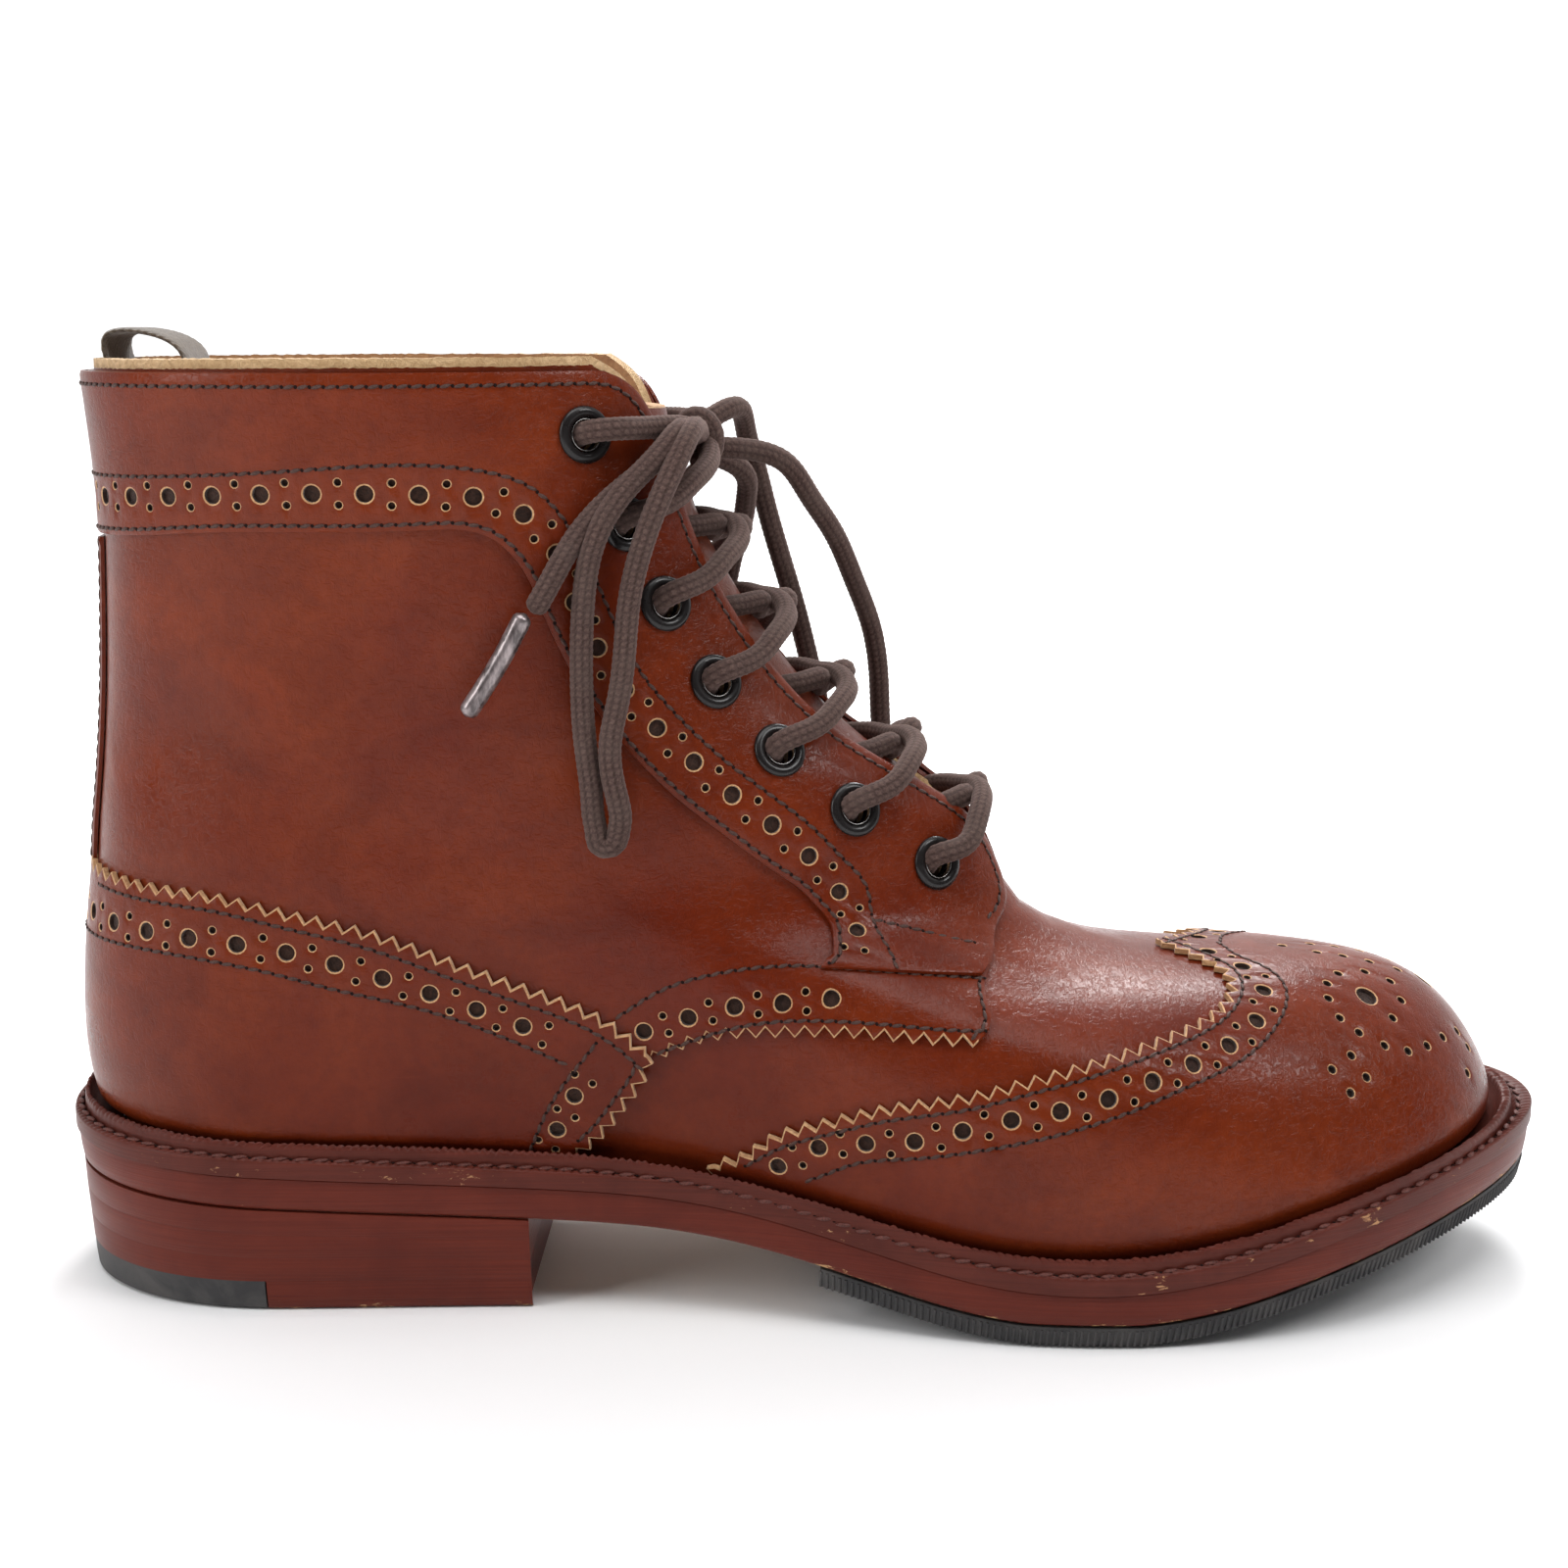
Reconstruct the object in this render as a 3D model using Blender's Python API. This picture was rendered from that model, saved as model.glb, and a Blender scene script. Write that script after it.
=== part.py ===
"""Right-foot leather derby ankle boot with wing cap and brogued overlays, laced through seven pairs of eyelets.

Frame: metres, +Z up, toe towards +X, inner (medial) side towards +Y, standing on z = 0.
A place on the last is given by a chart: |u| runs from 0 at the back of the heel to 1 at the
centre line of the front, negative on the lateral side, and k runs from 0 at the feather line
to 1 at the collar.
"""
import math
import bpy
import bmesh
import numpy as np

for old in list(bpy.data.objects):
    bpy.data.objects.remove(old, do_unlink=True)

SOLE_LENGTH = 0.309       # heel back to toe tip, along the welt
BALL_WIDTH = 0.108        # welt edge to welt edge at the ball
SHAFT_HEIGHT = 0.163      # collar above the sole's top, at the front
HEEL_RISE = 0.020         # sole's top at the back of the heel above its top at the ball
SOLE_THICK = 0.0073       # leather outsole
RUBBER_THICK = 0.0040     # forefoot rubber
WELT_THICK = 0.0035
BEAD_HEIGHT = 0.0070      # storm bead above the sole's top
TOP_PIECE = 0.0065        # heel's bottom lift
WALL = 0.0019             # vamp leather with its lining
PANEL = 0.0012            # quarters and wing cap
OVERLAY = 0.0011          # counter, facings, back strip
TONGUE_THICK = 0.0020
INSOLE_THICK = 0.0030
LACE = 0.0045             # lace diameter
GAP = 0.0003
QUARTER_TOP = GAP + PANEL
OVERLAY_LOW = QUARTER_TOP + GAP
OVERLAY_TOP = OVERLAY_LOW + OVERLAY


def spline(xs, ys):
    """Natural cubic through the rows of a table; ys may have several columns."""
    xs, ys = np.array(xs, float), np.array(ys, float)
    n, h = len(xs), np.diff(xs)
    a, r = np.eye(n), np.zeros(ys.shape)
    for i in range(1, n - 1):
        a[i, i - 1:i + 2] = h[i - 1], 2 * (h[i - 1] + h[i]), h[i]
        r[i] = 6 * ((ys[i + 1] - ys[i]) / h[i] - (ys[i] - ys[i - 1]) / h[i - 1])
    m = np.linalg.solve(a, r)

    def at(x):
        x = np.asarray(x, float)
        i = np.clip(np.searchsorted(xs, x, side='right') - 1, 0, n - 2)
        d, w = x - xs[i], h[i]
        e = w - d
        if ys.ndim > 1:
            d, w, e = d[..., None], w[..., None], e[..., None]
        bend = (m[i] * e ** 3 + m[i + 1] * d ** 3) / (6 * w)
        return bend + (ys[i] / w - m[i] * w / 6) * e + (ys[i + 1] / w - m[i + 1] * w / 6) * d
    return at


# Rise of the sole's top above its lowest line. Columns: share of sole length, share of heel rise.
SOLE_PROFILE = [(0.00, 1.000), (0.10, 0.940), (0.20, 0.860), (0.32, 0.770), (0.40, 0.680),
                (0.47, 0.510), (0.54, 0.270), (0.60, 0.075), (0.65, 0.000), (0.70, 0.010),
                (0.75, 0.115), (0.81, 0.335), (0.87, 0.545), (0.93, 0.725), (1.00, 0.880)]
# Half widths of the welt. Columns: share of sole length, lateral and medial shares of ball width.
OUTLINE = [(0.00, 0.366, 0.356), (0.14, 0.370, 0.361), (0.25, 0.361, 0.350), (0.35, 0.356, 0.322),
           (0.44, 0.370, 0.318), (0.53, 0.430, 0.355), (0.62, 0.495, 0.430), (0.70, 0.514, 0.491),
           (0.78, 0.500, 0.500), (0.88, 0.454, 0.472), (1.00, 0.370, 0.426)]
# The last's centre line. Columns: share of sole length, sideways share of ball width.
CENTRE = [(0.0, 0.0), (0.3, 0.0), (0.5, 0.0), (0.7, 0.005), (0.85, 0.028), (1.0, 0.065)]
# Rings of the upper. Columns: share of the way up, back x, back height, front x, front height,
# length of the rounding at the back and at the front.
# x and roundings are shares of sole length, heights are shares of shaft height.
RINGS = [(0.00, 0.031, 0.000, 0.950, 0.000, 0.129, 0.200),
         (0.06, 0.023, 0.049, 0.961, 0.034, 0.129, 0.200),
         (0.12, 0.019, 0.098, 0.960, 0.070, 0.129, 0.200),
         (0.19, 0.019, 0.153, 0.939, 0.144, 0.129, 0.206),
         (0.27, 0.021, 0.215, 0.894, 0.220, 0.129, 0.232),
         (0.36, 0.025, 0.288, 0.803, 0.285, 0.129, 0.274),
         (0.43, 0.029, 0.347, 0.700, 0.342, 0.135, 0.297),
         (0.47, 0.031, 0.383, 0.645, 0.389, 0.139, 0.297),
         (0.52, 0.034, 0.429, 0.613, 0.475, 0.142, 0.290),
         (0.62, 0.039, 0.528, 0.555, 0.567, 0.148, 0.271),
         (0.72, 0.043, 0.632, 0.500, 0.639, 0.155, 0.245),
         (0.82, 0.045, 0.742, 0.453, 0.745, 0.161, 0.219),
         (0.92, 0.043, 0.859, 0.423, 0.865, 0.168, 0.206),
         (1.00, 0.039, 0.957, 0.406, 1.000, 0.168, 0.200)]
# Half widths of the same rings, shares of ball width. Columns: share of the way up, lateral at
# heel, waist, ball and toe, medial at heel, waist, ball and toe.
WIDTHS = [(0.00, 0.292, 0.269, 0.421, 0.407, 0.287, 0.240, 0.412, 0.389),
          (0.06, 0.310, 0.292, 0.449, 0.421, 0.306, 0.264, 0.444, 0.403),
          (0.12, 0.319, 0.310, 0.458, 0.412, 0.315, 0.287, 0.458, 0.398),
          (0.19, 0.324, 0.324, 0.449, 0.384, 0.319, 0.306, 0.449, 0.375),
          (0.27, 0.324, 0.333, 0.426, 0.333, 0.319, 0.319, 0.417, 0.333),
          (0.36, 0.319, 0.338, 0.370, 0.315, 0.315, 0.329, 0.356, 0.315),
          (0.43, 0.315, 0.338, 0.315, 0.287, 0.310, 0.333, 0.306, 0.287),
          (0.47, 0.315, 0.335, 0.296, 0.287, 0.310, 0.331, 0.292, 0.287),
          (0.52, 0.310, 0.333, 0.296, 0.296, 0.306, 0.329, 0.296, 0.296),
          (0.62, 0.306, 0.333, 0.306, 0.306, 0.301, 0.329, 0.306, 0.306),
          (0.72, 0.310, 0.333, 0.306, 0.306, 0.306, 0.329, 0.306, 0.306),
          (0.82, 0.319, 0.343, 0.306, 0.306, 0.315, 0.338, 0.306, 0.306),
          (0.92, 0.333, 0.352, 0.306, 0.306, 0.329, 0.347, 0.306, 0.306),
          (1.00, 0.347, 0.361, 0.306, 0.306, 0.343, 0.356, 0.306, 0.306)]
WIDTH_PLACES = np.array([0.0, 0.13, 0.36, 0.65, 0.86, 1.0]) * SOLE_LENGTH
# How far a ring follows the sole's profile. Columns: share of the way up, share followed.
FOLLOW = [(0.0, 1.0), (0.12, 0.95), (0.27, 0.75), (0.44, 0.4), (0.62, 0.12), (1.0, 0.0)]

profile = spline([r[0] for r in SOLE_PROFILE], [r[1] for r in SOLE_PROFILE])
outline_widths = spline([r[0] for r in OUTLINE], [r[1:] for r in OUTLINE])
centre_share = spline([r[0] for r in CENTRE], [r[1] for r in CENTRE])
ring_row = spline([r[0] for r in RINGS], [r[1:] for r in RINGS])
width_row = spline([r[0] for r in WIDTHS], [r[1:] for r in WIDTHS])
follow = spline([r[0] for r in FOLLOW], [r[1] for r in FOLLOW])


def sole_top(x):
    low = SOLE_THICK + RUBBER_THICK + GAP
    return low + HEEL_RISE * profile(np.asarray(x) / SOLE_LENGTH)


def leather_under(x):
    return np.maximum(sole_top(x) - SOLE_THICK, RUBBER_THICK + 2 * GAP)


def centre(x):
    return BALL_WIDTH * centre_share(np.asarray(x) / SOLE_LENGTH)


def rounded(x, x0, x1, back, front, power_b, power_f):
    tb = np.clip((x - x0) / back, 0, 1)
    tf = np.clip((x1 - x) / front, 0, 1)
    return (1 - (1 - tb) ** power_b) ** (1 / power_b) * (1 - (1 - tf) ** power_f) ** (1 / power_f)


def outline(u, inset=0.0):
    """A point of the welt's outline, the same u as on the upper."""
    s, side = fold(u)
    x = inset + (SOLE_LENGTH - 2 * inset) * (1 - np.cos(np.pi * s)) / 2
    w = outline_widths(x / SOLE_LENGTH) * BALL_WIDTH
    w = np.where(side < 0, w[..., 0], w[..., 1]) - inset
    back, front = 0.148 * SOLE_LENGTH, 0.242 * SOLE_LENGTH
    y = centre(x) + side * w * rounded(x, inset, SOLE_LENGTH - inset, back, front, 2.15, 2.1)
    return x, y


def fold(u):
    u = (np.asarray(u, float) + 1) % 2 - 1
    return np.abs(u), np.where(u < 0, -1.0, 1.0)


def width_at(x, vals):
    """Width between the four places of a ring, with a smooth slope."""
    v = np.stack([vals[..., 0], vals[..., 0], vals[..., 1], vals[..., 2], vals[..., 3],
                  vals[..., 3]], -1)
    i = np.clip(np.searchsorted(WIDTH_PLACES, x, side='right') - 1, 0, 4)
    slope = (v[..., 1:] - v[..., :-1]) / np.diff(WIDTH_PLACES)
    m = np.concatenate([slope[..., :1] * 0, (slope[..., 1:] + slope[..., :-1]) / 2,
                        slope[..., -1:] * 0], -1)
    h = WIDTH_PLACES[i + 1] - WIDTH_PLACES[i]
    t = (x - WIDTH_PLACES[i]) / h

    def pick(table, j):
        return np.take_along_axis(table, j[..., None], -1)[..., 0]
    start = (2 * t ** 3 - 3 * t ** 2 + 1) * pick(v, i) + (t ** 3 - 2 * t ** 2 + t) * h * pick(m, i)
    end = (3 * t ** 2 - 2 * t ** 3) * pick(v, i + 1) + (t ** 3 - t ** 2) * h * pick(m, i + 1)
    return start + end


def last(u, k):
    """The outer face of the upper's wall at the chart place (u, k)."""
    u, k = np.broadcast_arrays(np.asarray(u, float), np.asarray(k, float))
    s, side = fold(u)
    r, w = ring_row(k), width_row(k) * BALL_WIDTH
    xb, xf, back, front = (r[..., i] * SOLE_LENGTH for i in (0, 2, 4, 5))
    hb, hf = r[..., 1] * SHAFT_HEIGHT, r[..., 3] * SHAFT_HEIGHT
    a = (1 - np.cos(np.pi * s)) / 2
    x = xb + (xf - xb) * a
    f = follow(k)
    base = f * sole_top(x) + (1 - f) * (sole_top(xb) * (1 - a) + sole_top(xf) * a)
    half = np.where(side < 0, width_at(x, w[..., 0:4]), width_at(x, w[..., 4:8]))
    y = centre(x) + side * half * rounded(x, xb, xf, back, front, 2.0, 2.0)
    return np.stack([x, y, base + hb + (hf - hb) * a], -1)


def normal(u, k):
    u, k = np.broadcast_arrays(np.asarray(u, float), np.asarray(k, float))
    du = last(u + 0.004, k) - last(u - 0.004, k)
    dk = last(u, k + 0.004) - last(u, np.maximum(k - 0.004, 0))
    n = np.cross(dk, du)
    return n / np.linalg.norm(n, axis=-1, keepdims=True)


def skin(u, k, off=0.0):
    """The last's surface moved out along its normal."""
    off = np.asarray(off, float)
    return last(u, k) + normal(u, k) * off[..., None]


turn = np.linspace(-1, 1, 721)
MID_Y = (outline(turn)[1].max() + outline(turn)[1].min()) / 2
ORIGIN = np.array([SOLE_LENGTH / 2, MID_Y, 0.0])


def material(name, colour, roughness, metallic=0.0):
    mat = bpy.data.materials.new(name)
    mat.use_nodes = True
    bsdf = mat.node_tree.nodes['Principled BSDF']
    bsdf.inputs['Base Color'].default_value = (*colour, 1)
    bsdf.inputs['Roughness'].default_value = roughness
    bsdf.inputs['Metallic'].default_value = metallic
    return mat


CHESTNUT = (0.165, 0.045, 0.022)
DARK_CHESTNUT = (0.110, 0.032, 0.018)
TAN = (0.42, 0.25, 0.12)
EDGE = (0.125, 0.036, 0.022)
BLACK = (0.012, 0.012, 0.013)
LACE_BROWN = (0.045, 0.032, 0.027)
OLIVE = (0.075, 0.058, 0.040)


def solid(name, verts, faces, colour, roughness=0.5, metallic=0.0, sharp=40):
    """One closed object from points of the model's own frame, shifted to the part's origin."""
    mesh = bpy.data.meshes.new(name)
    mesh.from_pydata([tuple(v) for v in np.asarray(verts) - ORIGIN], [], faces)
    work = bmesh.new()
    work.from_mesh(mesh)
    bmesh.ops.recalc_face_normals(work, faces=work.faces)
    if work.calc_volume(signed=True) < 0:
        bmesh.ops.reverse_faces(work, faces=work.faces)
    work.to_mesh(mesh)
    work.free()
    mesh.shade_smooth()
    mesh.set_sharp_from_angle(angle=math.radians(sharp))
    mesh.materials.append(material(name, colour, roughness, metallic))
    obj = bpy.data.objects.new(name, mesh)
    bpy.context.scene.collection.objects.link(obj)
    return obj


def between(inner, outer, wrap=False):
    """Faces of the closed body between two grids of points with the same rows and columns."""
    rows, cols = inner.shape[:2]
    count = rows * cols
    verts = np.concatenate([outer.reshape(-1, 3), inner.reshape(-1, 3)])
    faces = []
    last_col = cols if wrap else cols - 1

    def at(i, j, layer):
        return layer * count + i * cols + j % cols
    for i in range(rows - 1):
        for j in range(last_col):
            a, b, c, d = at(i, j, 0), at(i, j + 1, 0), at(i + 1, j + 1, 0), at(i + 1, j, 0)
            faces += [(a, b, c), (a, c, d)]
            a, b, c, d = (v + count for v in (a, b, c, d))
            faces += [(a, c, b), (a, d, c)]
    for j in range(last_col):
        for i in (0, rows - 1):
            quad = (at(i, j, 0), at(i, j + 1, 0), at(i, j + 1, 1), at(i, j, 1))
            faces.append(quad if i else quad[::-1])
    if not wrap:
        for i in range(rows - 1):
            for j in (0, cols - 1):
                quad = (at(i, j, 0), at(i + 1, j, 0), at(i + 1, j, 1), at(i, j, 1))
                faces.append(quad[::-1] if j else quad)
    return verts, faces


COLUMNS = np.arange(28) / 14 - 1
ROWS = [0.0, 0.035, 0.08, 0.13, 0.19, 0.25, 0.31, 0.37, 0.43, 0.47, 0.51, 0.57, 0.66, 0.77,
        0.89, 1.0]


def shell(name, low, high, bottom, top, colour, roughness=0.45):
    """A sleeve round the whole last between two offsets, its rows and columns shared by all."""
    rows = [bottom] + [k for k in ROWS if bottom + 0.012 < k < top - 0.012] + [top]
    u, k = np.meshgrid(COLUMNS, rows)
    return solid(name, *between(skin(u, k, low + 0 * u), skin(u, k, high + 0 * u), wrap=True),
                 colour, roughness)


def patch(name, first, second, across=6, low=-0.007, high=0.009):
    """A cutter that covers the chart between two lines of (u, k) places."""
    first, second = np.array(first), np.array(second)
    t = np.linspace(0, 1, across + 1)[:, None, None]
    uk = first * (1 - t) + second * t
    u, k = uk[..., 0], uk[..., 1]
    cutter = solid(name, *between(skin(u, k, low + 0 * u), skin(u, k, high + 0 * u)), BLACK)
    cutter.hide_render = True
    cutter.display_type = 'WIRE'
    return cutter


def cut(obj, cutter, operation):
    mod = obj.modifiers.new(operation.title(), 'BOOLEAN')
    mod.object = cutter
    mod.operation = operation
    mod.solver = 'EXACT'
    return obj


def mirrored(table):
    """A line of (s, k) places from the front of the lateral side round the back to the medial."""
    return [(-s, k) for s, k in reversed(table)] + [(s, k) for s, k in table if s > 0.001]


# Edges of the pieces on the chart. Columns: share round from heel to toe, share of the way up.
COUNTER_TOP = [(0.00, 0.418), (0.10, 0.419), (0.20, 0.423), (0.25, 0.425), (0.305, 0.410),
               (0.35, 0.387), (0.38, 0.347), (0.41, 0.305), (0.435, 0.262), (0.447, 0.218)]
WING_TOP = [(0.462, 0.058), (0.470, 0.082), (0.490, 0.135), (0.517, 0.175), (0.550, 0.212),
            (0.590, 0.243), (0.637, 0.275), (0.690, 0.297), (0.740, 0.310), (0.787, 0.322),
            (0.830, 0.340), (0.867, 0.357), (0.910, 0.377), (0.962, 0.397), (1.000, 0.407)]
QUARTER_FRONT = [(0.395, 0.035), (0.408, 0.100), (0.423, 0.160), (0.437, 0.205), (0.450, 0.222),
                 (0.475, 0.252), (0.515, 0.280), (0.557, 0.300), (0.600, 0.311), (0.630, 0.318),
                 (0.645, 0.333), (0.672, 0.365), (0.715, 0.402), (0.780, 0.435), (0.840, 0.459),
                 (0.890, 0.472), (0.928, 0.487), (0.943, 0.505), (0.940, 0.525), (0.916, 0.550),
                 (0.886, 0.578), (0.865, 0.612), (0.854, 0.645), (0.850, 0.680), (0.850, 0.720),
                 (0.850, 0.760), (0.852, 0.810), (0.857, 0.860), (0.861, 0.895), (0.860, 0.930),
                 (0.851, 0.958), (0.830, 0.978), (0.790, 0.992)]
FACING_FRONT = [(0.00, 0.990), (0.20, 0.990), (0.40, 0.990), (0.55, 0.990), (0.66, 0.990),
                (0.74, 0.990), (0.789, 0.988), (0.829, 0.976), (0.850, 0.957), (0.859, 0.930),
                (0.860, 0.895), (0.856, 0.860), (0.851, 0.810), (0.849, 0.760), (0.849, 0.680),
                (0.853, 0.645), (0.864, 0.612), (0.885, 0.578), (0.915, 0.550), (0.939, 0.525),
                (0.942, 0.505), (0.927, 0.488), (0.889, 0.473), (0.839, 0.460), (0.779, 0.436),
                (0.714, 0.404)]
FACING_BACK = [(0.00, 0.825), (0.20, 0.835), (0.32, 0.848), (0.45, 0.858), (0.54, 0.865),
               (0.580, 0.866), (0.600, 0.860), (0.614, 0.845), (0.621, 0.825), (0.620, 0.790),
               (0.617, 0.750), (0.616, 0.700), (0.616, 0.650), (0.618, 0.600), (0.623, 0.568),
               (0.635, 0.540), (0.652, 0.516), (0.668, 0.500), (0.679, 0.488), (0.681, 0.472),
               (0.672, 0.455), (0.655, 0.440), (0.637, 0.424), (0.620, 0.410), (0.608, 0.402),
               (0.600, 0.394)]
THROAT = [(0.985, 0.499), (0.970, 0.505), (0.957, 0.515), (0.947, 0.530), (0.922, 0.553),
          (0.890, 0.581), (0.869, 0.613), (0.858, 0.645), (0.854, 0.680), (0.854, 0.760),
          (0.856, 0.810), (0.861, 0.860), (0.865, 0.895), (0.864, 0.932), (0.855, 0.962),
          (0.836, 0.982), (0.800, 0.995), (0.780, 1.004), (0.780, 1.040)]
TONGUE_SIDE = [(0.790, 0.405), (0.765, 0.470), (0.740, 0.540), (0.720, 0.620), (0.700, 0.720),
               (0.695, 0.850), (0.700, 0.968)]
# Centres of the eyelets, top pair first: share round, share of the way up.
EYELETS = [(0.735, 0.947), (0.753, 0.874), (0.753, 0.796), (0.750, 0.717), (0.750, 0.629),
           (0.766, 0.554), (0.824, 0.508)]

# Upper: vamp and lining in one wall, open at collar, throat and feather line.
upper = shell('upper', -WALL, 0.0, 0.0, 1.0, CHESTNUT)
cut(upper, patch('cut_throat', [(-s, k) for s, k in THROAT], [(s - 2, k) for s, k in THROAT]),
    'DIFFERENCE')

# Outer leather panels on the wall.
for side, word in ((-1, 'lateral'), (1, 'medial')):
    panel = shell('quarter_' + word, GAP, QUARTER_TOP, 0.046, 0.990, CHESTNUT)
    back_seam = [(side * 0.0045, k) for s, k in QUARTER_FRONT]
    back_seam[0], back_seam[-1] = (side * 0.0045, 0.020), (side * 0.0045, 1.010)
    front = [(side * s, k) for s, k in QUARTER_FRONT]
    front[0], front[-1] = (side * 0.392, 0.020), (side * 0.775, 1.010)
    cut(panel, patch('cut_quarter_' + word, back_seam, front, across=12), 'INTERSECT')
    overlay = shell('facing_' + word, OVERLAY_LOW, OVERLAY_TOP, 0.340, 0.985, CHESTNUT)
    front = [(side * max(s, 0.0045), k) for s, k in FACING_FRONT]
    front = [(u, 1.004 if abs(u) < 0.75 and k > 0.9 else k) for u, k in front]
    back = [(side * max(s, 0.0045), k) for s, k in FACING_BACK]
    cut(overlay, patch('cut_facing_' + word, front, back, across=4), 'INTERSECT')

counter = shell('heel_counter', OVERLAY_LOW, OVERLAY_TOP, 0.050, 0.470, CHESTNUT)
top = mirrored(COUNTER_TOP)
cut(counter, patch('cut_counter', [(u * 0.895, 0.022) for u, k in top], top), 'INTERSECT')

wing = shell('wing_cap', GAP, QUARTER_TOP, 0.050, 0.470, CHESTNUT)
top = [(-s, k) for s, k in WING_TOP] + [(s - 2, k) for s, k in reversed(WING_TOP[:-1])]
cut(wing, patch('cut_wing', [(u, 0.022) for u, k in top], top), 'INTERSECT')

strip = shell('back_strip', OVERLAY_LOW, OVERLAY_TOP, 0.360, 0.900, CHESTNUT)
ks = np.linspace(0.4225, 0.8215, 12)
cut(strip, patch('cut_strip', [(-0.052, k) for k in ks], [(0.052, k) for k in ks], across=4),
    'INTERSECT')

# Tongue: lies under the throat, its root under the vamp.
tongue = shell('tongue', -WALL - 0.0005 - TONGUE_THICK, -WALL - 0.0005, 0.350, 0.985, DARK_CHESTNUT,
               0.6)
cut(tongue, patch('cut_tongue', [(-s, k) for s, k in TONGUE_SIDE],
                  [(s - 2, k) for s, k in TONGUE_SIDE]), 'INTERSECT')


def slab(name, x0, x1, low, high, inset, colour, roughness=0.5, stations=30, taper=0.0,
         edge=None, lanes=6):
    """A body across the boot between x0 and x1: low(x) and high(x) give its two faces, inset(z)
    its distance in from the welt's outline, or edge(x, side) its own side line."""
    closed_back, closed_front = x0 <= 0.0, x1 >= SOLE_LENGTH
    t = np.linspace(0, 1, stations)
    t = (1 - np.cos(np.pi * t)) / 2 if closed_back or closed_front else t
    lane = np.linspace(-1, 1, lanes + 1)
    grids = []
    for face, place in ((low, inset + taper), (high, inset)):
        a = max(x0, place) if closed_back else x0
        b = min(x1, SOLE_LENGTH - place) if closed_front else x1
        x = a + (b - a) * np.clip(t, 0.0012, 0.9988) if closed_back or closed_front else \
            a + (b - a) * t
        w = outline_widths(x / SOLE_LENGTH) * BALL_WIDTH - place
        round_off = rounded(x, place, SOLE_LENGTH - place, 0.148 * SOLE_LENGTH,
                            0.242 * SOLE_LENGTH, 2.15, 2.1)
        left, right = centre(x) - w[:, 0] * round_off, centre(x) + w[:, 1] * round_off
        if edge is not None:
            left, right = edge(x)
        y = left[None, :] + (right - left)[None, :] * (lane[:, None] + 1) / 2
        xs = np.broadcast_to(x, y.shape)
        grids.append(np.stack([xs, y, np.broadcast_to(face(x), y.shape)], -1))
    verts, faces = between(grids[0], grids[1])
    return solid(name, verts, faces, colour, roughness)


def heel_line(x, z_share):
    """Half widths of the heel: it draws in a little towards the floor."""
    w = outline_widths(x / SOLE_LENGTH) * BALL_WIDTH
    draw = 0.0012 + 0.0036 * (1 - z_share)
    back = 0.0012 + 0.0012 * (1 - z_share)
    r = rounded(x, back, SOLE_LENGTH, 0.148 * SOLE_LENGTH, 0.242 * SOLE_LENGTH, 2.15, 2.1)
    return centre(x) - (w[:, 0] - draw) * r, centre(x) + (w[:, 1] - draw) * r


def heel_body(name, x0, x1, low, high, colour, roughness, breast=0.0, stations=16, lanes=6):
    """Part of the heel from x0 to x1. The breast curves forward by the given depth at its edges."""
    t = np.linspace(0, 1, stations)
    t = t ** 1.8
    lane = np.linspace(-1, 1, lanes + 1)
    depth = leather_under(HEEL_BREAST * SOLE_LENGTH)
    grids = []
    for face in (low, high):
        share = np.mean(face(np.array([x0, x1]))) / depth
        a = x0 if x0 > 0.01 else 0.0012 + 0.0012 * (1 - share) + 0.00015
        x = a + (x1 - a) * t
        left, right = heel_line(x, share)
        xs = x[None, :] + breast * (lane[:, None] ** 2 - 1) * t[None, :] ** 6
        left, right = heel_line(x, share)
        y = left[None, :] + (right - left)[None, :] * (lane[:, None] + 1) / 2
        zs = np.broadcast_to(face(x), y.shape)
        grids.append(np.stack([xs, y, zs], -1))
    verts, faces = between(grids[0], grids[1])
    return solid(name, verts, faces, colour, roughness)


HEEL_BREAST = 0.318       # shares of sole length
TIP_FRONT = 0.146
RUBBER_BACK = 0.505
slab('outsole_leather', 0.0, SOLE_LENGTH, leather_under, lambda x: sole_top(x) - 1.6 * GAP,
     0.0006, EDGE, 0.45, stations=32, taper=0.0008, lanes=3)
slab('outsole_rubber', RUBBER_BACK * SOLE_LENGTH, SOLE_LENGTH,
     lambda x: np.maximum(leather_under(x) - 2 * GAP - RUBBER_THICK, 0),
     lambda x: leather_under(x) - GAP, 0.0014, BLACK, 0.75, stations=24, taper=0.0008, lanes=3)
heel_body('heel_stack', 0.0, HEEL_BREAST * SOLE_LENGTH, lambda x: TOP_PIECE + 0 * x,
          lambda x: leather_under(x) - GAP, EDGE, 0.45, breast=0.004, stations=13, lanes=4)
heel_body('heel_tip_rubber', 0.0, TIP_FRONT * SOLE_LENGTH, lambda x: 0 * x,
          lambda x: TOP_PIECE - GAP + 0 * x, BLACK, 0.8, stations=10, lanes=4)
heel_body('heel_top_piece', TIP_FRONT * SOLE_LENGTH + GAP, HEEL_BREAST * SOLE_LENGTH,
          lambda x: 0 * x, lambda x: TOP_PIECE - GAP + 0 * x, EDGE, 0.5, breast=0.004, stations=7, lanes=4)

# Storm welt: a flat strip on the sole with a raised bead against the upper.
u = np.arange(56) / 28 - 1


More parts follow.
